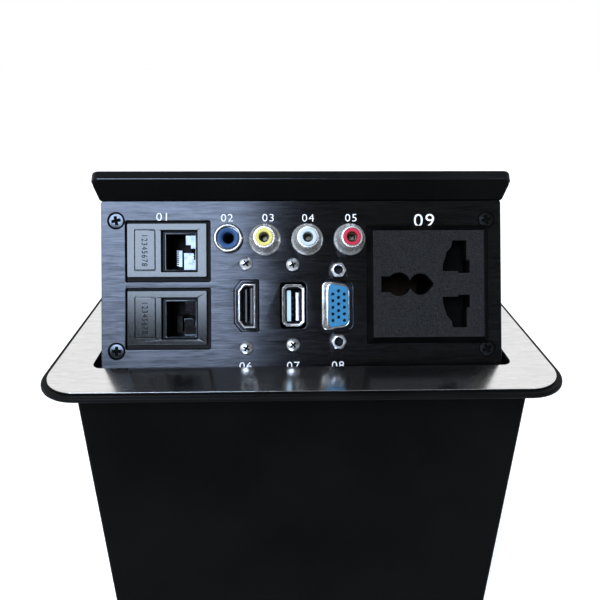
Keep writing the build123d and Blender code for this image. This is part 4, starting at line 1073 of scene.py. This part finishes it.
def screwTree():
    # a turned head with a cross recess and a shank, set at every point of the base mesh
    tree, given = newTree("screws", panScrew)
    place = addNode(tree, "GeometryNodeInputPosition")
    spot = addNode(tree, "ShaderNodeSeparateXYZ", (place,)).node.outputs
    values = {socket.name: socket for socket in [*spot, *given[1:-1]] if socket.name}
    workOut(tree, values, (
        ("rise", "DIVIDE", "Z", "Head Height"),
        ("height", "ADD", "rise", 0.5),  # 0 at the head's foot and 1 at its top
        ("bend", "POWER", "height", 6.0),  # the rounding keeps to the top of the head
        ("rounding", "MULTIPLY", "bend", "Edge Round"),
        ("kept", "SUBTRACT", 1.0, "rounding"),
    ))
    values["flare"] = addNode(tree, "ShaderNodeMapRange", {
        "Value": values["height"], "To Min": given["Foot Share"], "To Max": 1.0,
    })
    workOut(tree, values, (
        ("scale", "MULTIPLY", "flare", "kept"),
        ("shapedX", "MULTIPLY", "X", "scale"),
        ("shapedY", "MULTIPLY", "Y", "scale"),
        ("squareX", "MULTIPLY", "X", "X"),
        ("squareY", "MULTIPLY", "Y", "Y"),
        ("reach", "ADD", "squareX", "squareY"),
        ("fullReach", "MULTIPLY", "Head Radius", "Head Radius"),
        ("share", "DIVIDE", "reach", "fullReach"),
        ("dome", "MULTIPLY", "share", "Dome"),
        ("sink", "MULTIPLY", "dome", "height"),  # the top falls away towards its edge
        ("sunk", "SUBTRACT", "Z", "sink"),
        ("lift", "MULTIPLY", "Head Height", 0.5),
        ("shapedZ", "ADD", "sunk", "lift"),
        ("cutHeight", "MULTIPLY", "Cross Depth", 2.0),
        ("halfShank", "MULTIPLY", "Shank Length", -0.5),
        ("drop", "ADD", "halfShank", 0.1 * mm),  # the shank reaches a little into the head
    ))
    blank = addNode(tree, "GeometryNodeMeshCylinder", {
        "Vertices": 40, "Side Segments": 8, "Fill Segments": 4,
        "Radius": given["Head Radius"], "Depth": given["Head Height"],
    })
    shaped = addNode(tree, "ShaderNodeCombineXYZ", [values["shaped" + way] for way in "XYZ"])
    head = addNode(tree, "GeometryNodeSetPosition", {"Geometry": blank, "Position": shaped})
    top = addNode(tree, "ShaderNodeCombineXYZ", {"Z": given["Head Height"]})
    arms = []
    for across, along in (("Cross Width", "Cross Arm"), ("Cross Arm", "Cross Width")):
        size = addNode(tree, "ShaderNodeCombineXYZ", (given[across], given[along], values["cutHeight"]))
        arm = addNode(tree, "GeometryNodeMeshCube", {"Size": size})
        arms.append(addNode(tree, "GeometryNodeTransform", {"Geometry": arm, "Translation": top}))
    cut = addNode(
        tree, "GeometryNodeMeshBoolean", {"Mesh 1": head, "Mesh 2": arms},
        operation="DIFFERENCE", solver="EXACT",
    )
    rod = addNode(tree, "GeometryNodeMeshCylinder", {
        "Vertices": 24, "Radius": given["Shank Radius"], "Depth": given["Shank Length"],
    })
    below = addNode(tree, "ShaderNodeCombineXYZ", {"Z": values["drop"]})
    shank = addNode(tree, "GeometryNodeTransform", {"Geometry": rod, "Translation": below})
    screw = addNode(tree, "GeometryNodeJoinGeometry", {"Geometry": [cut, shank]})
    axis = addNode(
        tree, "GeometryNodeInputNamedAttribute", {"Name": "axis"}, give="Attribute",
        data_type="FLOAT_VECTOR",
    )
    turn = addNode(
        tree, "GeometryNodeInputNamedAttribute", {"Name": "turn"}, give="Attribute", data_type="FLOAT"
    )
    spin = addNode(tree, "ShaderNodeCombineXYZ", {"Z": turn})
    spun = addNode(tree, "FunctionNodeEulerToRotation", (spin,))
    stand = addNode(tree, "FunctionNodeAlignRotationToVector", {"Vector": axis}, axis="Z")
    pose = addNode(tree, "FunctionNodeRotateRotation", (stand, spun), rotation_space="LOCAL")
    points = addNode(tree, "GeometryNodeMeshToPoints", {"Mesh": given["Geometry"]})
    placed = addNode(tree, "GeometryNodeInstanceOnPoints", {
        "Points": points, "Instance": screw, "Rotation": pose,
    })
    closeTree(tree, placed, given)
    return tree


def pointMesh(name, places, ways, turns):
    # bare points in metres, each with the way its screw faces and how far it is turned
    mesh = bpy.data.meshes.new(name)
    mesh.from_pydata(places, [], [])
    mesh.attributes.new("axis", "FLOAT_VECTOR", "POINT")
    mesh.attributes.new("turn", "FLOAT", "POINT")
    for i, way in enumerate(ways):
        mesh.attributes["axis"].data[i].vector = way
        mesh.attributes["turn"].data[i].value = radians(turns[i % len(turns)])
    return mesh


screws = screwTree()


def setScrews(name, spots, ways, turns, size, material, body, slot, node):
    grow(name, pointMesh(name, spots, ways, turns), screws, size, material, body, slot, node)


outwards = (panelFrame.to_3x3() @ Vector((0, 0, 1))).normalized()
portScrews = {"turns": (35, 60, 20, 42), "out": 0.0, "crossSpan": (1.05, 0.3)}
cornerScrews = {"turns": (12, 15, 0, 28), "out": -1.38, "crossSpan": (-0.35, -1.2)}
crossGap = (0.08, 0.06)  # the floor of a cross recess is this much smaller than the recess
# the dead black ring of painted shade round each countersunk head: radius and height of each point
shadeRingProfile = [(2.46, -0.5), (3.08, -0.5), (3.08, 0.03), (2.95, 0.07), (2.5, 0.05), (2.46, 0.0)]


def crossOutline(width, arm, turn, x, y):
    # a plus sign turned by some degrees
    long, short = width / 2, arm / 2
    corners = [
        (long, -short), (long, short), (short, short), (short, long), (-short, long), (-short, short),
        (-long, short), (-long, -short), (-short, -short), (-short, -long), (short, -long), (short, -short),
    ]
    c, s = cos(radians(turn)), sin(radians(turn))
    return [(x + px * c - py * s, y + px * s + py * c) for px, py in corners]


def drawCrossShades(bm, places, setting, screw):
    # a dead black plate in each cross recess, painted shade for the dark of the recess
    width, arm = screw["Cross Width"] - crossGap[0], screw["Cross Arm"] - crossGap[1]
    for place, turn in zip(places, setting["turns"]):
        cutBlock(bm, crossOutline(width, arm, turn, *place), edgeRings(*setting["crossSpan"]))


def drawScrewShadeRings(bm):
    # a thin dead black ring in each countersink round the head: painted shade for the gap between head and
    # countersink
    for place in cornerScrewsAt:
        turned(bm, shadeRingProfile, *place, 40)


def panelScrews(name, crossShades, places, setting, screw, material, slot, node):
    # one kind of screw on the panel, and the dead black plates of painted shade in its recesses
    spots = [panelFrame @ Vector((x, y, setting["out"])) for x, y in places]
    ways = [outwards] * len(spots)
    setScrews(name, spots, ways, setting["turns"], screw, material, "lid", slot, node)
    shapePiece(
        crossShades, lambda bm: drawCrossShades(bm, places, setting, screw), panelFrame,
        "recessShadeBlack", "lid", "black_screw", node,
    )


# each screw kind comes with painted shade plates in its cross recesses
panelScrews(
    "portScrews", "portCrossShades", portScrewsAt, portScrews, panScrew,
    "brightZinc", "nickel", "port_screws",
)
panelScrews(
    "panelScrews", "cornerCrossShades", cornerScrewsAt, cornerScrews, flushScrew,
    "blackZinc", "black_screw", "panel_screws",
)
# painted shade: dead black rings round the countersunk heads
shapePiece("screwShadeRings", drawScrewShadeRings, panelFrame, "recessShadeBlack", "lid", "black_screw", "panel_screws")

wallFace = 78.6  # how far the outside of each side wall lies from the middle
wallTurns = (12, 55, 30, 78, 5, 40)
pinionAt = (32.734, -21.56)  # Y and Z, as of all screws in the side walls
damperScrewsAt = [
    (pinionAt[0] - 10.6, pinionAt[1] - 2.0), (pinionAt[0] - 3.0, pinionAt[1] - 10.6),
]
for name, places, sides, length in (
    ("bottom", [(-32, -113), (32, -113)], (-1, 1), 3.0),
    ("bezel", [(-30, -4), (10, -4)], (-1, 1), 3.4),
    ("bracket", [(43.5, -11), (49.5, -11)], (-1, 1), 4.0),
    ("damper", damperScrewsAt, (-1,), 2.7),
):
    spots = [(side * wallFace * mm, y * mm, z * mm) for side in sides for y, z in places]
    ways = [(side, 0, 0) for side in sides for place in places]
    setScrews(
        name + "Screws", spots, ways, wallTurns, {**wallScrew, "Shank Length": length},
        "blackOxide", "housing", "black_screw", name + "_screws",
    )

latchScrewSpots = [(side * 12.0 * mm, -14.0 * mm, -116.8 * mm) for side in (-1, 1)]
setScrews(
    "latchScrews", latchScrewSpots, [(0, 0, 1)] * 2, (20, 65), {**wallScrew, "Shank Length": 3.2},
    "zincSteel", "housing", "zinc_steel", "latch_screws",
)
cheekFace = 71.1  # the rear cover's screws go in from both sides of the panel
coverScrewsAt = [(side, up, -9.0) for side in (-1, 1) for up in (6.0, 38.0)]
setScrews(
    "coverScrews", [panelFrame @ Vector((side * cheekFace, up, out)) for side, up, out in coverScrewsAt],
    [(side, 0, 0) for side, up, out in coverScrewsAt], (10, 50, 70, 33), coverScrew,
    "blackOxide", "lid", "black_screw", "cover_screws",
)
print("screws made")

insertSize = {
    "Hole Radius": 0.56, "Row Spacing": 2.0, "Hole Spacing": 2.29, "Depth": 6.5, "Shift": 1.145,
}
insertHoles = (3, 5)  # across and up
insertProfile = [(0.25, 0.0), (0.08, -0.08), (0.0, -0.25), (0.0, -16.0)]
insertOut = 4.1


def holesTree():
    # rows of holes, the middle column half a pitch higher, cut out of the base mesh
    tree, given = newTree("holes", insertSize)
    values = {size: given[size] for size in insertSize}
    place = addNode(tree, "GeometryNodeInputPosition")
    values["across"] = addNode(tree, "ShaderNodeSeparateXYZ", (place,), "X")
    workOut(tree, values, (
        ("width", "MULTIPLY", "Row Spacing", insertHoles[0] - 1),
        ("length", "MULTIPLY", "Hole Spacing", insertHoles[1] - 1),
        ("distance", "ABSOLUTE", "across"),
        ("halfRow", "MULTIPLY", "Row Spacing", 0.5),
        ("inMiddle", "LESS_THAN", "distance", "halfRow"),
        ("raised", "MULTIPLY", "inMiddle", "Shift"),
        ("halfShift", "MULTIPLY", "Shift", 0.5),
        ("step", "SUBTRACT", "raised", "halfShift"),
        ("drillLength", "MULTIPLY", "Depth", 2.0),
    ))
    grid = addNode(tree, "GeometryNodeMeshGrid", {
        "Vertices X": insertHoles[0], "Vertices Y": insertHoles[1],
        "Size X": values["width"], "Size Y": values["length"],
    })
    up = addNode(tree, "ShaderNodeCombineXYZ", {"Y": values["step"]})
    spots = addNode(tree, "GeometryNodeSetPosition", {"Geometry": grid, "Offset": up})
    drill = addNode(tree, "GeometryNodeMeshCylinder", {
        "Vertices": 20, "Radius": given["Hole Radius"], "Depth": values["drillLength"],
    })
    drills = addNode(tree, "GeometryNodeInstanceOnPoints", {"Points": spots, "Instance": drill})
    cut = addNode(
        tree, "GeometryNodeMeshBoolean", {"Mesh 1": given["Geometry"], "Mesh 2": drills},
        operation="DIFFERENCE", solver="EXACT",
    )
    closeTree(tree, cut, given)
    return tree


def insertMesh():
    # the D-shaped block with its front face at zero
    bm = bmesh.new()
    cutBlock(bm, fifteenOutline("insert"), insertProfile)
    bmesh.ops.recalc_face_normals(bm, faces=bm.faces)
    return takeMesh("insertBlock", bm, toMetres)


grow(
    "fifteenPinInsert", insertMesh(), holesTree(), insertSize,
    "bluePlastic", "lid", "blue_plastic", "fifteen_pin_insert", place=onPanel(*fifteenAt, insertOut),
)
print("fifteen-pin insert made")

latchCoil = {"Coil Radius": 2.3, "Wire Radius": 0.35, "Coil Length": 12.3, "Turns": 7}
shutterCoil = {"Coil Radius": 0.85, "Wire Radius": 0.2, "Coil Length": 12.6, "Turns": 10}
latchCoilAt = (0, -14.0, -100.315)
shutterCoilAt = (53.1, 27.0, -6.35)


def coilTree():
    # wire wound along the Z axis from the origin
    tree, given = newTree("coil", latchCoil)
    spiral = addNode(tree, "GeometryNodeCurveSpiral", {
        "Resolution": 28, "Rotations": given["Turns"], "Start Radius": given["Coil Radius"],
        "End Radius": given["Coil Radius"], "Height": given["Coil Length"],
    })
    wire = addNode(tree, "GeometryNodeCurvePrimitiveCircle", {
        "Resolution": 10, "Radius": given["Wire Radius"],
    })
    swept = addNode(tree, "GeometryNodeCurveToMesh", {
        "Curve": spiral, "Profile Curve": wire, "Fill Caps": True,
    })
    whole = addNode(tree, "GeometryNodeJoinGeometry", {"Geometry": [given["Geometry"], swept]})
    closeTree(tree, whole, given)
    return tree


coils = coilTree()
lyingAlong = Matrix.Rotation(radians(90), 4, "Y")
for name, coil, place, body, node in (
    ("latchSpring", latchCoil, toMetres @ Matrix.Translation(latchCoilAt), "housing", "latch_spring"),
    ("shutterSpring", shutterCoil, onPanel(*shutterCoilAt) @ lyingAlong, "lid", "shutter_spring"),
):
    base = bpy.data.meshes.new(name + "Base")
    grow(name, base, coils, coil, "springSteel", body, "spring_steel", node, place=place, crease=60)
dressed("torsion_springs", "springSteel", "lid", "spring_steel", 0.1)
# near-black brass: tarnish plus painted shade, so the contacts sit dark in their cavities
dressed("network_contacts", "tarnishAndShadeBrass", "lid", "gold_contact", 0.05)
print("springs made")


mainsSize = {
    "base": (43.6, 42.0),
    "plug": 39.3,
    "out": 2.5,
    "faceDepth": 0.5,
    "slope": 2.2,
    "foot": -2.9,
    "shift": (-0.05, 0.16),  # the flat top lies a little above the middle of its base
    "earthLeft": 27.6,
    "earthMouth": 2.7,  # half height of the slot at its left end
    "earthNeck": 1.4,
    "earthRounds": ((6.2, 4.1), (13.8, 3.75)),  # centre from the slot's left end, and radius
    "earthTip": (18.5, 38),  # how far right it reaches, and the angle where its round ends
    "entryRound": 0.35,
    "rim": [(0.12, 0.25), (0.0, 0.05), (0.0, 0.0)],  # where the slopes meet the panel
    "faceRings": [(0.3, 0.0), (0.12, -0.03), (0.0, -0.15)],  # rounding of the face, from its front
    "mouthRings": [(0.35, 0.0), (0.2, -0.05), (0.05, -0.2)],
    "coverDrop": 0.2,  # how far the surround stays below the face
    "coverGap": 0.02,
}
liveOutline = [  # on the panel; the neutral entry is its mirror image
    (52.9, 42.3), (57.7, 42.3), (57.7, 35.3), (58.8, 35.3), (58.8, 30.9), (54.9, 30.9),
    (54.9, 31.6), (49.3, 31.6), (49.4, 33.6), (50.8, 38.2), (52.4, 40.0),
]


def mainsOutline():
    # square corners, so that the slopes meet in mitres
    x, y = mainsSize["base"][0] / 2, mainsSize["base"][1] / 2
    return [(x, -y), (x, y), (-x, y), (-x, -y)]


def earthOutline():
    # round-ended slot with a second round mouth that ends in a point
    size = mainsSize
    (first, wide), (second, narrow) = size["earthRounds"]
    mouth, neck = size["earthMouth"], size["earthNeck"]
    tip, tipAngle = size["earthTip"]
    upper = [(0.0, mouth)]
    upper += arc(first, 0, wide, 180 - degrees(asin(mouth / wide)), degrees(asin(neck / wide)))
    upper += arc(second, 0, narrow, 180 - degrees(asin(neck / narrow)), tipAngle)
    lower = [(x, -y) for x, y in reversed(upper)]
    whole = [*upper, (tip, 0.0), *lower]
    return moved(list(reversed(whole)), size["earthLeft"] - mainsAt[0], 0)


def mainsEntries():
    live = [(x - mainsAt[0], y - mainsAt[1]) for x, y in reversed(liveOutline)]
    neutral = [(x, -y) for x, y in reversed(live)]
    return [earthOutline(), *(roundCorners(entry, mainsSize["entryRound"], 2) for entry in (live, neutral))]


def drawMainsCover(bm):
    size = mainsSize
    top, slope, foot, gap = size["out"] - size["coverDrop"], size["slope"], size["foot"], size["coverGap"]
    inset = (size["base"][0] - size["plug"]) / 2
    cutBlock(
        bm, mainsOutline(), [(slope, top), *size["rim"], (inset, 0.0), (inset, foot)],
        [(entry, [(gap, top), (gap, foot)], False) for entry in mainsEntries()],
    )
    for vert in bm.verts:  # the slopes' upper edge follows the flat top
        x, y = (abs(vert.co[way]) - size["base"][way] / 2 for way in (0, 1))
        if vert.co.z > 0.5 and max(x, y) > -slope - 0.5:
            vert.co += Vector((*size["shift"], 0.0))


def drawMainsFace(bm):
    # the grained flat top, let into the polished surround
    size = mainsSize
    out, low = size["out"], size["out"] - size["faceDepth"]
    mouth, edge = (
        [*((inset, out + height) for inset, height in size[rings]), (0.0, low)]
        for rings in ("mouthRings", "faceRings")
    )
    face = moved(grown(mainsOutline(), -size["slope"]), *size["shift"])
    cutBlock(bm, face, edge, [(entry, mouth, False) for entry in mainsEntries()])


# the surround's slopes carry painted shade in their darker colour
shapePiece(
    "mainsCover", drawMainsCover, onPanel(*mainsAt), "shadedPolishedAbs", "lid", "socket_grey", "mains_cover"
)
shapePiece("mainsFace", drawMainsFace, onPanel(*mainsAt), "mattAbs", "lid", "socket_grey", "mains_cover")
dressed("mains_body", "shadedPolishedAbs", "lid", "socket_grey", 0.3)
dressed("mains_shutter", "shadedPolishedAbs", "shutter", "socket_grey", 0.2)
# near-black brass: tarnish plus painted shade for the depth of the mains socket
dressed("mains_contacts", "tarnishAndShadeBrass", "lid", "brass", 0.15)
print("mains socket made")


textSize = {
    "capShare": 0.73,  # height of a capital for a text of size 1
    "thinner": -0.03,
    "spacing": 1.12,
    "inkOut": 0.02,
    "numeralStretch": 1.12,
    "contactHeight": 2.1,
    "contactStretch": 0.9,
    "contactThickness": 0.5,
    "contactOut": 0.1,
    "contactSide": -1.05,
}
numerals = [  # text, middle across, foot on the panel, height, all in millimetres
    ("01", -49.3, 49.9, 3.0),
    ("02", -26.7, 49.6, 2.8),
    ("03", -12.1, 49.6, 2.8),
    ("04", 2.0, 49.5, 2.8),
    ("05", 17.3, 49.5, 2.8),
    ("06", -20.4, -2.9, 2.9),
    ("07", -3.6, -2.9, 2.9),
    ("08", 12.3, -2.9, 2.9),
    ("09", 43.4, 47.6, 4.8),
]


def drawText(text, height, stretch, thickness=0.03):
    # a row of figures as a thin flat mesh in millimetres, its middle at the foot
    curve = bpy.data.curves.new("numeral" + text, "FONT")
    curve.body = text
    curve.size = height / textSize["capShare"]
    curve.align_x = "CENTER"
    curve.extrude = thickness / 2
    curve.offset = textSize["thinner"]
    curve.space_character = textSize["spacing"]
    curve.resolution_u = 3
    holder = bpy.data.objects.new("numeral" + text, curve)
    scene.collection.objects.link(holder)
    bpy.context.view_layer.update()
    seen = holder.evaluated_get(bpy.context.evaluated_depsgraph_get())
    mesh = bpy.data.meshes.new_from_object(seen)
    bpy.data.objects.remove(holder)
    mesh.transform(Matrix.Diagonal((stretch, 1, 1, 1)))
    return mesh


def textPiece(name, rows, material, slot):
    # joins rows of figures, each with its place on the panel
    bm = bmesh.new()
    for mesh, place in rows:
        mesh.transform(place)
        bm.from_mesh(mesh)
        bpy.data.meshes.remove(mesh)
    bmesh.ops.remove_doubles(bm, verts=bm.verts, dist=1e-4)
    mesh = takeMesh(name, bm, panelFrame)
    finishPiece(name, mesh, material, "lid", slot, crease=60, weighted=False)


def printNumerals():
    stretch, out = textSize["numeralStretch"], textSize["inkOut"]
    textPiece("numerals", [
        (drawText(text, height, stretch), Matrix.Translation((across, foot, out)))
        for text, across, foot, height in numerals
    ], "whiteInk", "white_plastic")


def mouldContactNumbers():
    # the numbers of the eight contacts, raised on each label field and reading downwards
    size = textSize
    labelX, labelY = networkSize["labelAt"]
    out = networkSize["faceTop"] + size["contactOut"]
    downwards = Matrix.Rotation(radians(-90), 4, "Z")
    rows = []
    for across, up in networkAt.values():
        mesh = drawText(
            "12345678", size["contactHeight"], size["contactStretch"], size["contactThickness"]
        )
        place = Matrix.Translation((across + labelX + size["contactSide"], up + labelY, out))
        rows.append((mesh, place @ downwards))
    textPiece("contactNumbers", rows, "blackRubber", "black_plastic")


printNumerals()
mouldContactNumbers()
print("numerals made")


roomSet = {
    "floor": "#dedede",
    "floorSide": 6.0,
    "floorLevel": -0.1202,
    "floorSeen": 0.5,  # what the camera adds to the floor's own light, so that it reads white
    "floorMirrored": 0.05,
    "back": 1.0,  # brightness behind the object, which the flange mirrors
    "front": 0.17,  # brightness behind the camera
    "ceiling": 0.2,
    "side": 1.6,  # what a bright wall on the left adds
    "even": 0.55,  # what matt surfaces receive from all round
    "window": (11.0, 13.6, 17.6),  # the bright window in front on the left, which gloss mirrors
    "windowAzimuth": (-48.0, -4.2),  # degrees from straight ahead of the object
    "windowHeight": (24.0, 48.0),
    "windowSoft": 2.5,
    "backSpan": (-0.25, 0.35),  # where the walls go from front to back, along Y
    "ceilingSpan": (0.75, 0.95),  # where they go over into the ceiling, along Z
    "sideSpan": (-0.7, -0.95),  # where the left wall brightens, along X
    "lampPlace": (-0.5, -0.5, 1.5),
    "lampSize": 1.2,
    "lampPower": 15.0,
}


def makeFloor():
    mesh = bpy.data.meshes.new("floor")
    side, level = roomSet["floorSide"], roomSet["floorLevel"]
    corners = [(-side, -side, level), (side, -side, level), (side, side, level), (-side, side, level)]
    mesh.from_pydata(corners, [], [(0, 1, 2, 3)])
    floor = bpy.data.objects.new("floor", mesh)
    scene.collection.objects.link(floor)
    material, tree, shader, place = newMaterial("paleFloor", {
        "Base Color": toLinear(roomSet["floor"]), "Roughness": 0.9, "Specular IOR Level": 0.0,
        "Emission Color": (1, 1, 1, 1),
    })
    rays = addNode(tree, "ShaderNodeLightPath").node.outputs
    values = {ray.name: ray for ray in rays}
    workOut(tree, values, (
        ("reflected", "MAXIMUM", "Is Glossy Ray", "Is Transmission Ray"),
        ("mirrored", "MULTIPLY", "reflected", roomSet["floorMirrored"]),
        ("direct", "MULTIPLY", "Is Camera Ray", roomSet["floorSeen"]),
        ("seen", "MAXIMUM", "direct", "mirrored"),
    ))
    tree.links.new(values["seen"], shader.inputs["Emission Strength"])
    mesh.materials.append(material)


def makeWorld():
    # a plain room, bright behind the object and on the left, with one large soft-edged window
    room = roomSet
    world = bpy.data.worlds.new("studio")
    scene.world = world
    world.use_nodes = True
    tree = world.node_tree
    tree.nodes.clear()
    ray = addNode(tree, "ShaderNodeTexCoord", give="Generated")
    way = addNode(tree, "ShaderNodeSeparateXYZ", (ray,)).node.outputs
    rays = addNode(tree, "ShaderNodeLightPath").node.outputs
    values = {socket.name: socket for socket in [*way, *rays]}
    workOut(tree, values, (
        ("forward", "MULTIPLY", "Y", -1.0),
        ("azimuth", "ARCTAN2", "X", "forward"),
        ("rise", "ARCSINE", "Z"),
    ))
    soft = radians(room["windowSoft"])
    left, right = (radians(angle) for angle in room["windowAzimuth"])
    low, high = (radians(angle) for angle in room["windowHeight"])
    for name, source, start, end, first, last in (
        ("depth", "Y", *room["backSpan"], room["front"], room["back"]),
        ("overhead", "Z", *room["ceilingSpan"], 0.0, 1.0),
        ("leftward", "X", *room["sideSpan"], 0.0, room["side"]),
        ("leftEdge", "azimuth", left - soft, left + soft, 0.0, 1.0),
        ("rightEdge", "azimuth", right + soft, right - soft, 0.0, 1.0),
        ("lowEdge", "rise", low - soft, low + soft, 0.0, 1.0),
        ("highEdge", "rise", high + soft, high - soft, 0.0, 1.0),
    ):
        values[name] = addNode(tree, "ShaderNodeMapRange", {
            "Value": values[source], "From Min": start, "From Max": end, "To Min": first, "To Max": last,
        }, interpolation_type="SMOOTHSTEP")
    values["walls"] = addNode(
        tree, "ShaderNodeMix", {0: values["overhead"], 2: values["depth"], 3: room["ceiling"]},
        data_type="FLOAT",
    )
    workOut(tree, values, (
        ("plain", "ADD", "walls", "leftward"),
        ("between", "MULTIPLY", "leftEdge", "rightEdge"),
        ("above", "MULTIPLY", "between", "lowEdge"),
        ("window", "MULTIPLY", "above", "highEdge"),
    ))
    colour, even = values["plain"], room["even"]
    for name, light in (
        ("window", room["window"]),
        ("Is Diffuse Ray", (even, even, even)),
        ("Is Camera Ray", (1.0, 1.0, 1.0)),
    ):
        colour = addNode(
            tree, "ShaderNodeMix", {0: values[name], 6: colour, 7: (*light, 1.0)}, give=2, data_type="RGBA"
        )
    background = addNode(tree, "ShaderNodeBackground", {"Color": colour, "Strength": 1.0})
    addNode(tree, "ShaderNodeOutputWorld", {"Surface": background})


def hangLamp():
    data = bpy.data.lights.new("overheadLamp", "AREA")
    data.shape, data.size, data.energy = "DISK", roomSet["lampSize"], roomSet["lampPower"]
    lamp = bpy.data.objects.new("overheadLamp", data)
    lamp.location = roomSet["lampPlace"]
    lamp.rotation_euler = lamp.location.to_track_quat("Z", "Y").to_euler()  # towards the object
    scene.collection.objects.link(lamp)
    lamp.visible_glossy = False


makeFloor()
makeWorld()
hangLamp()
scene.view_settings.view_transform = "Standard"
print("room made")
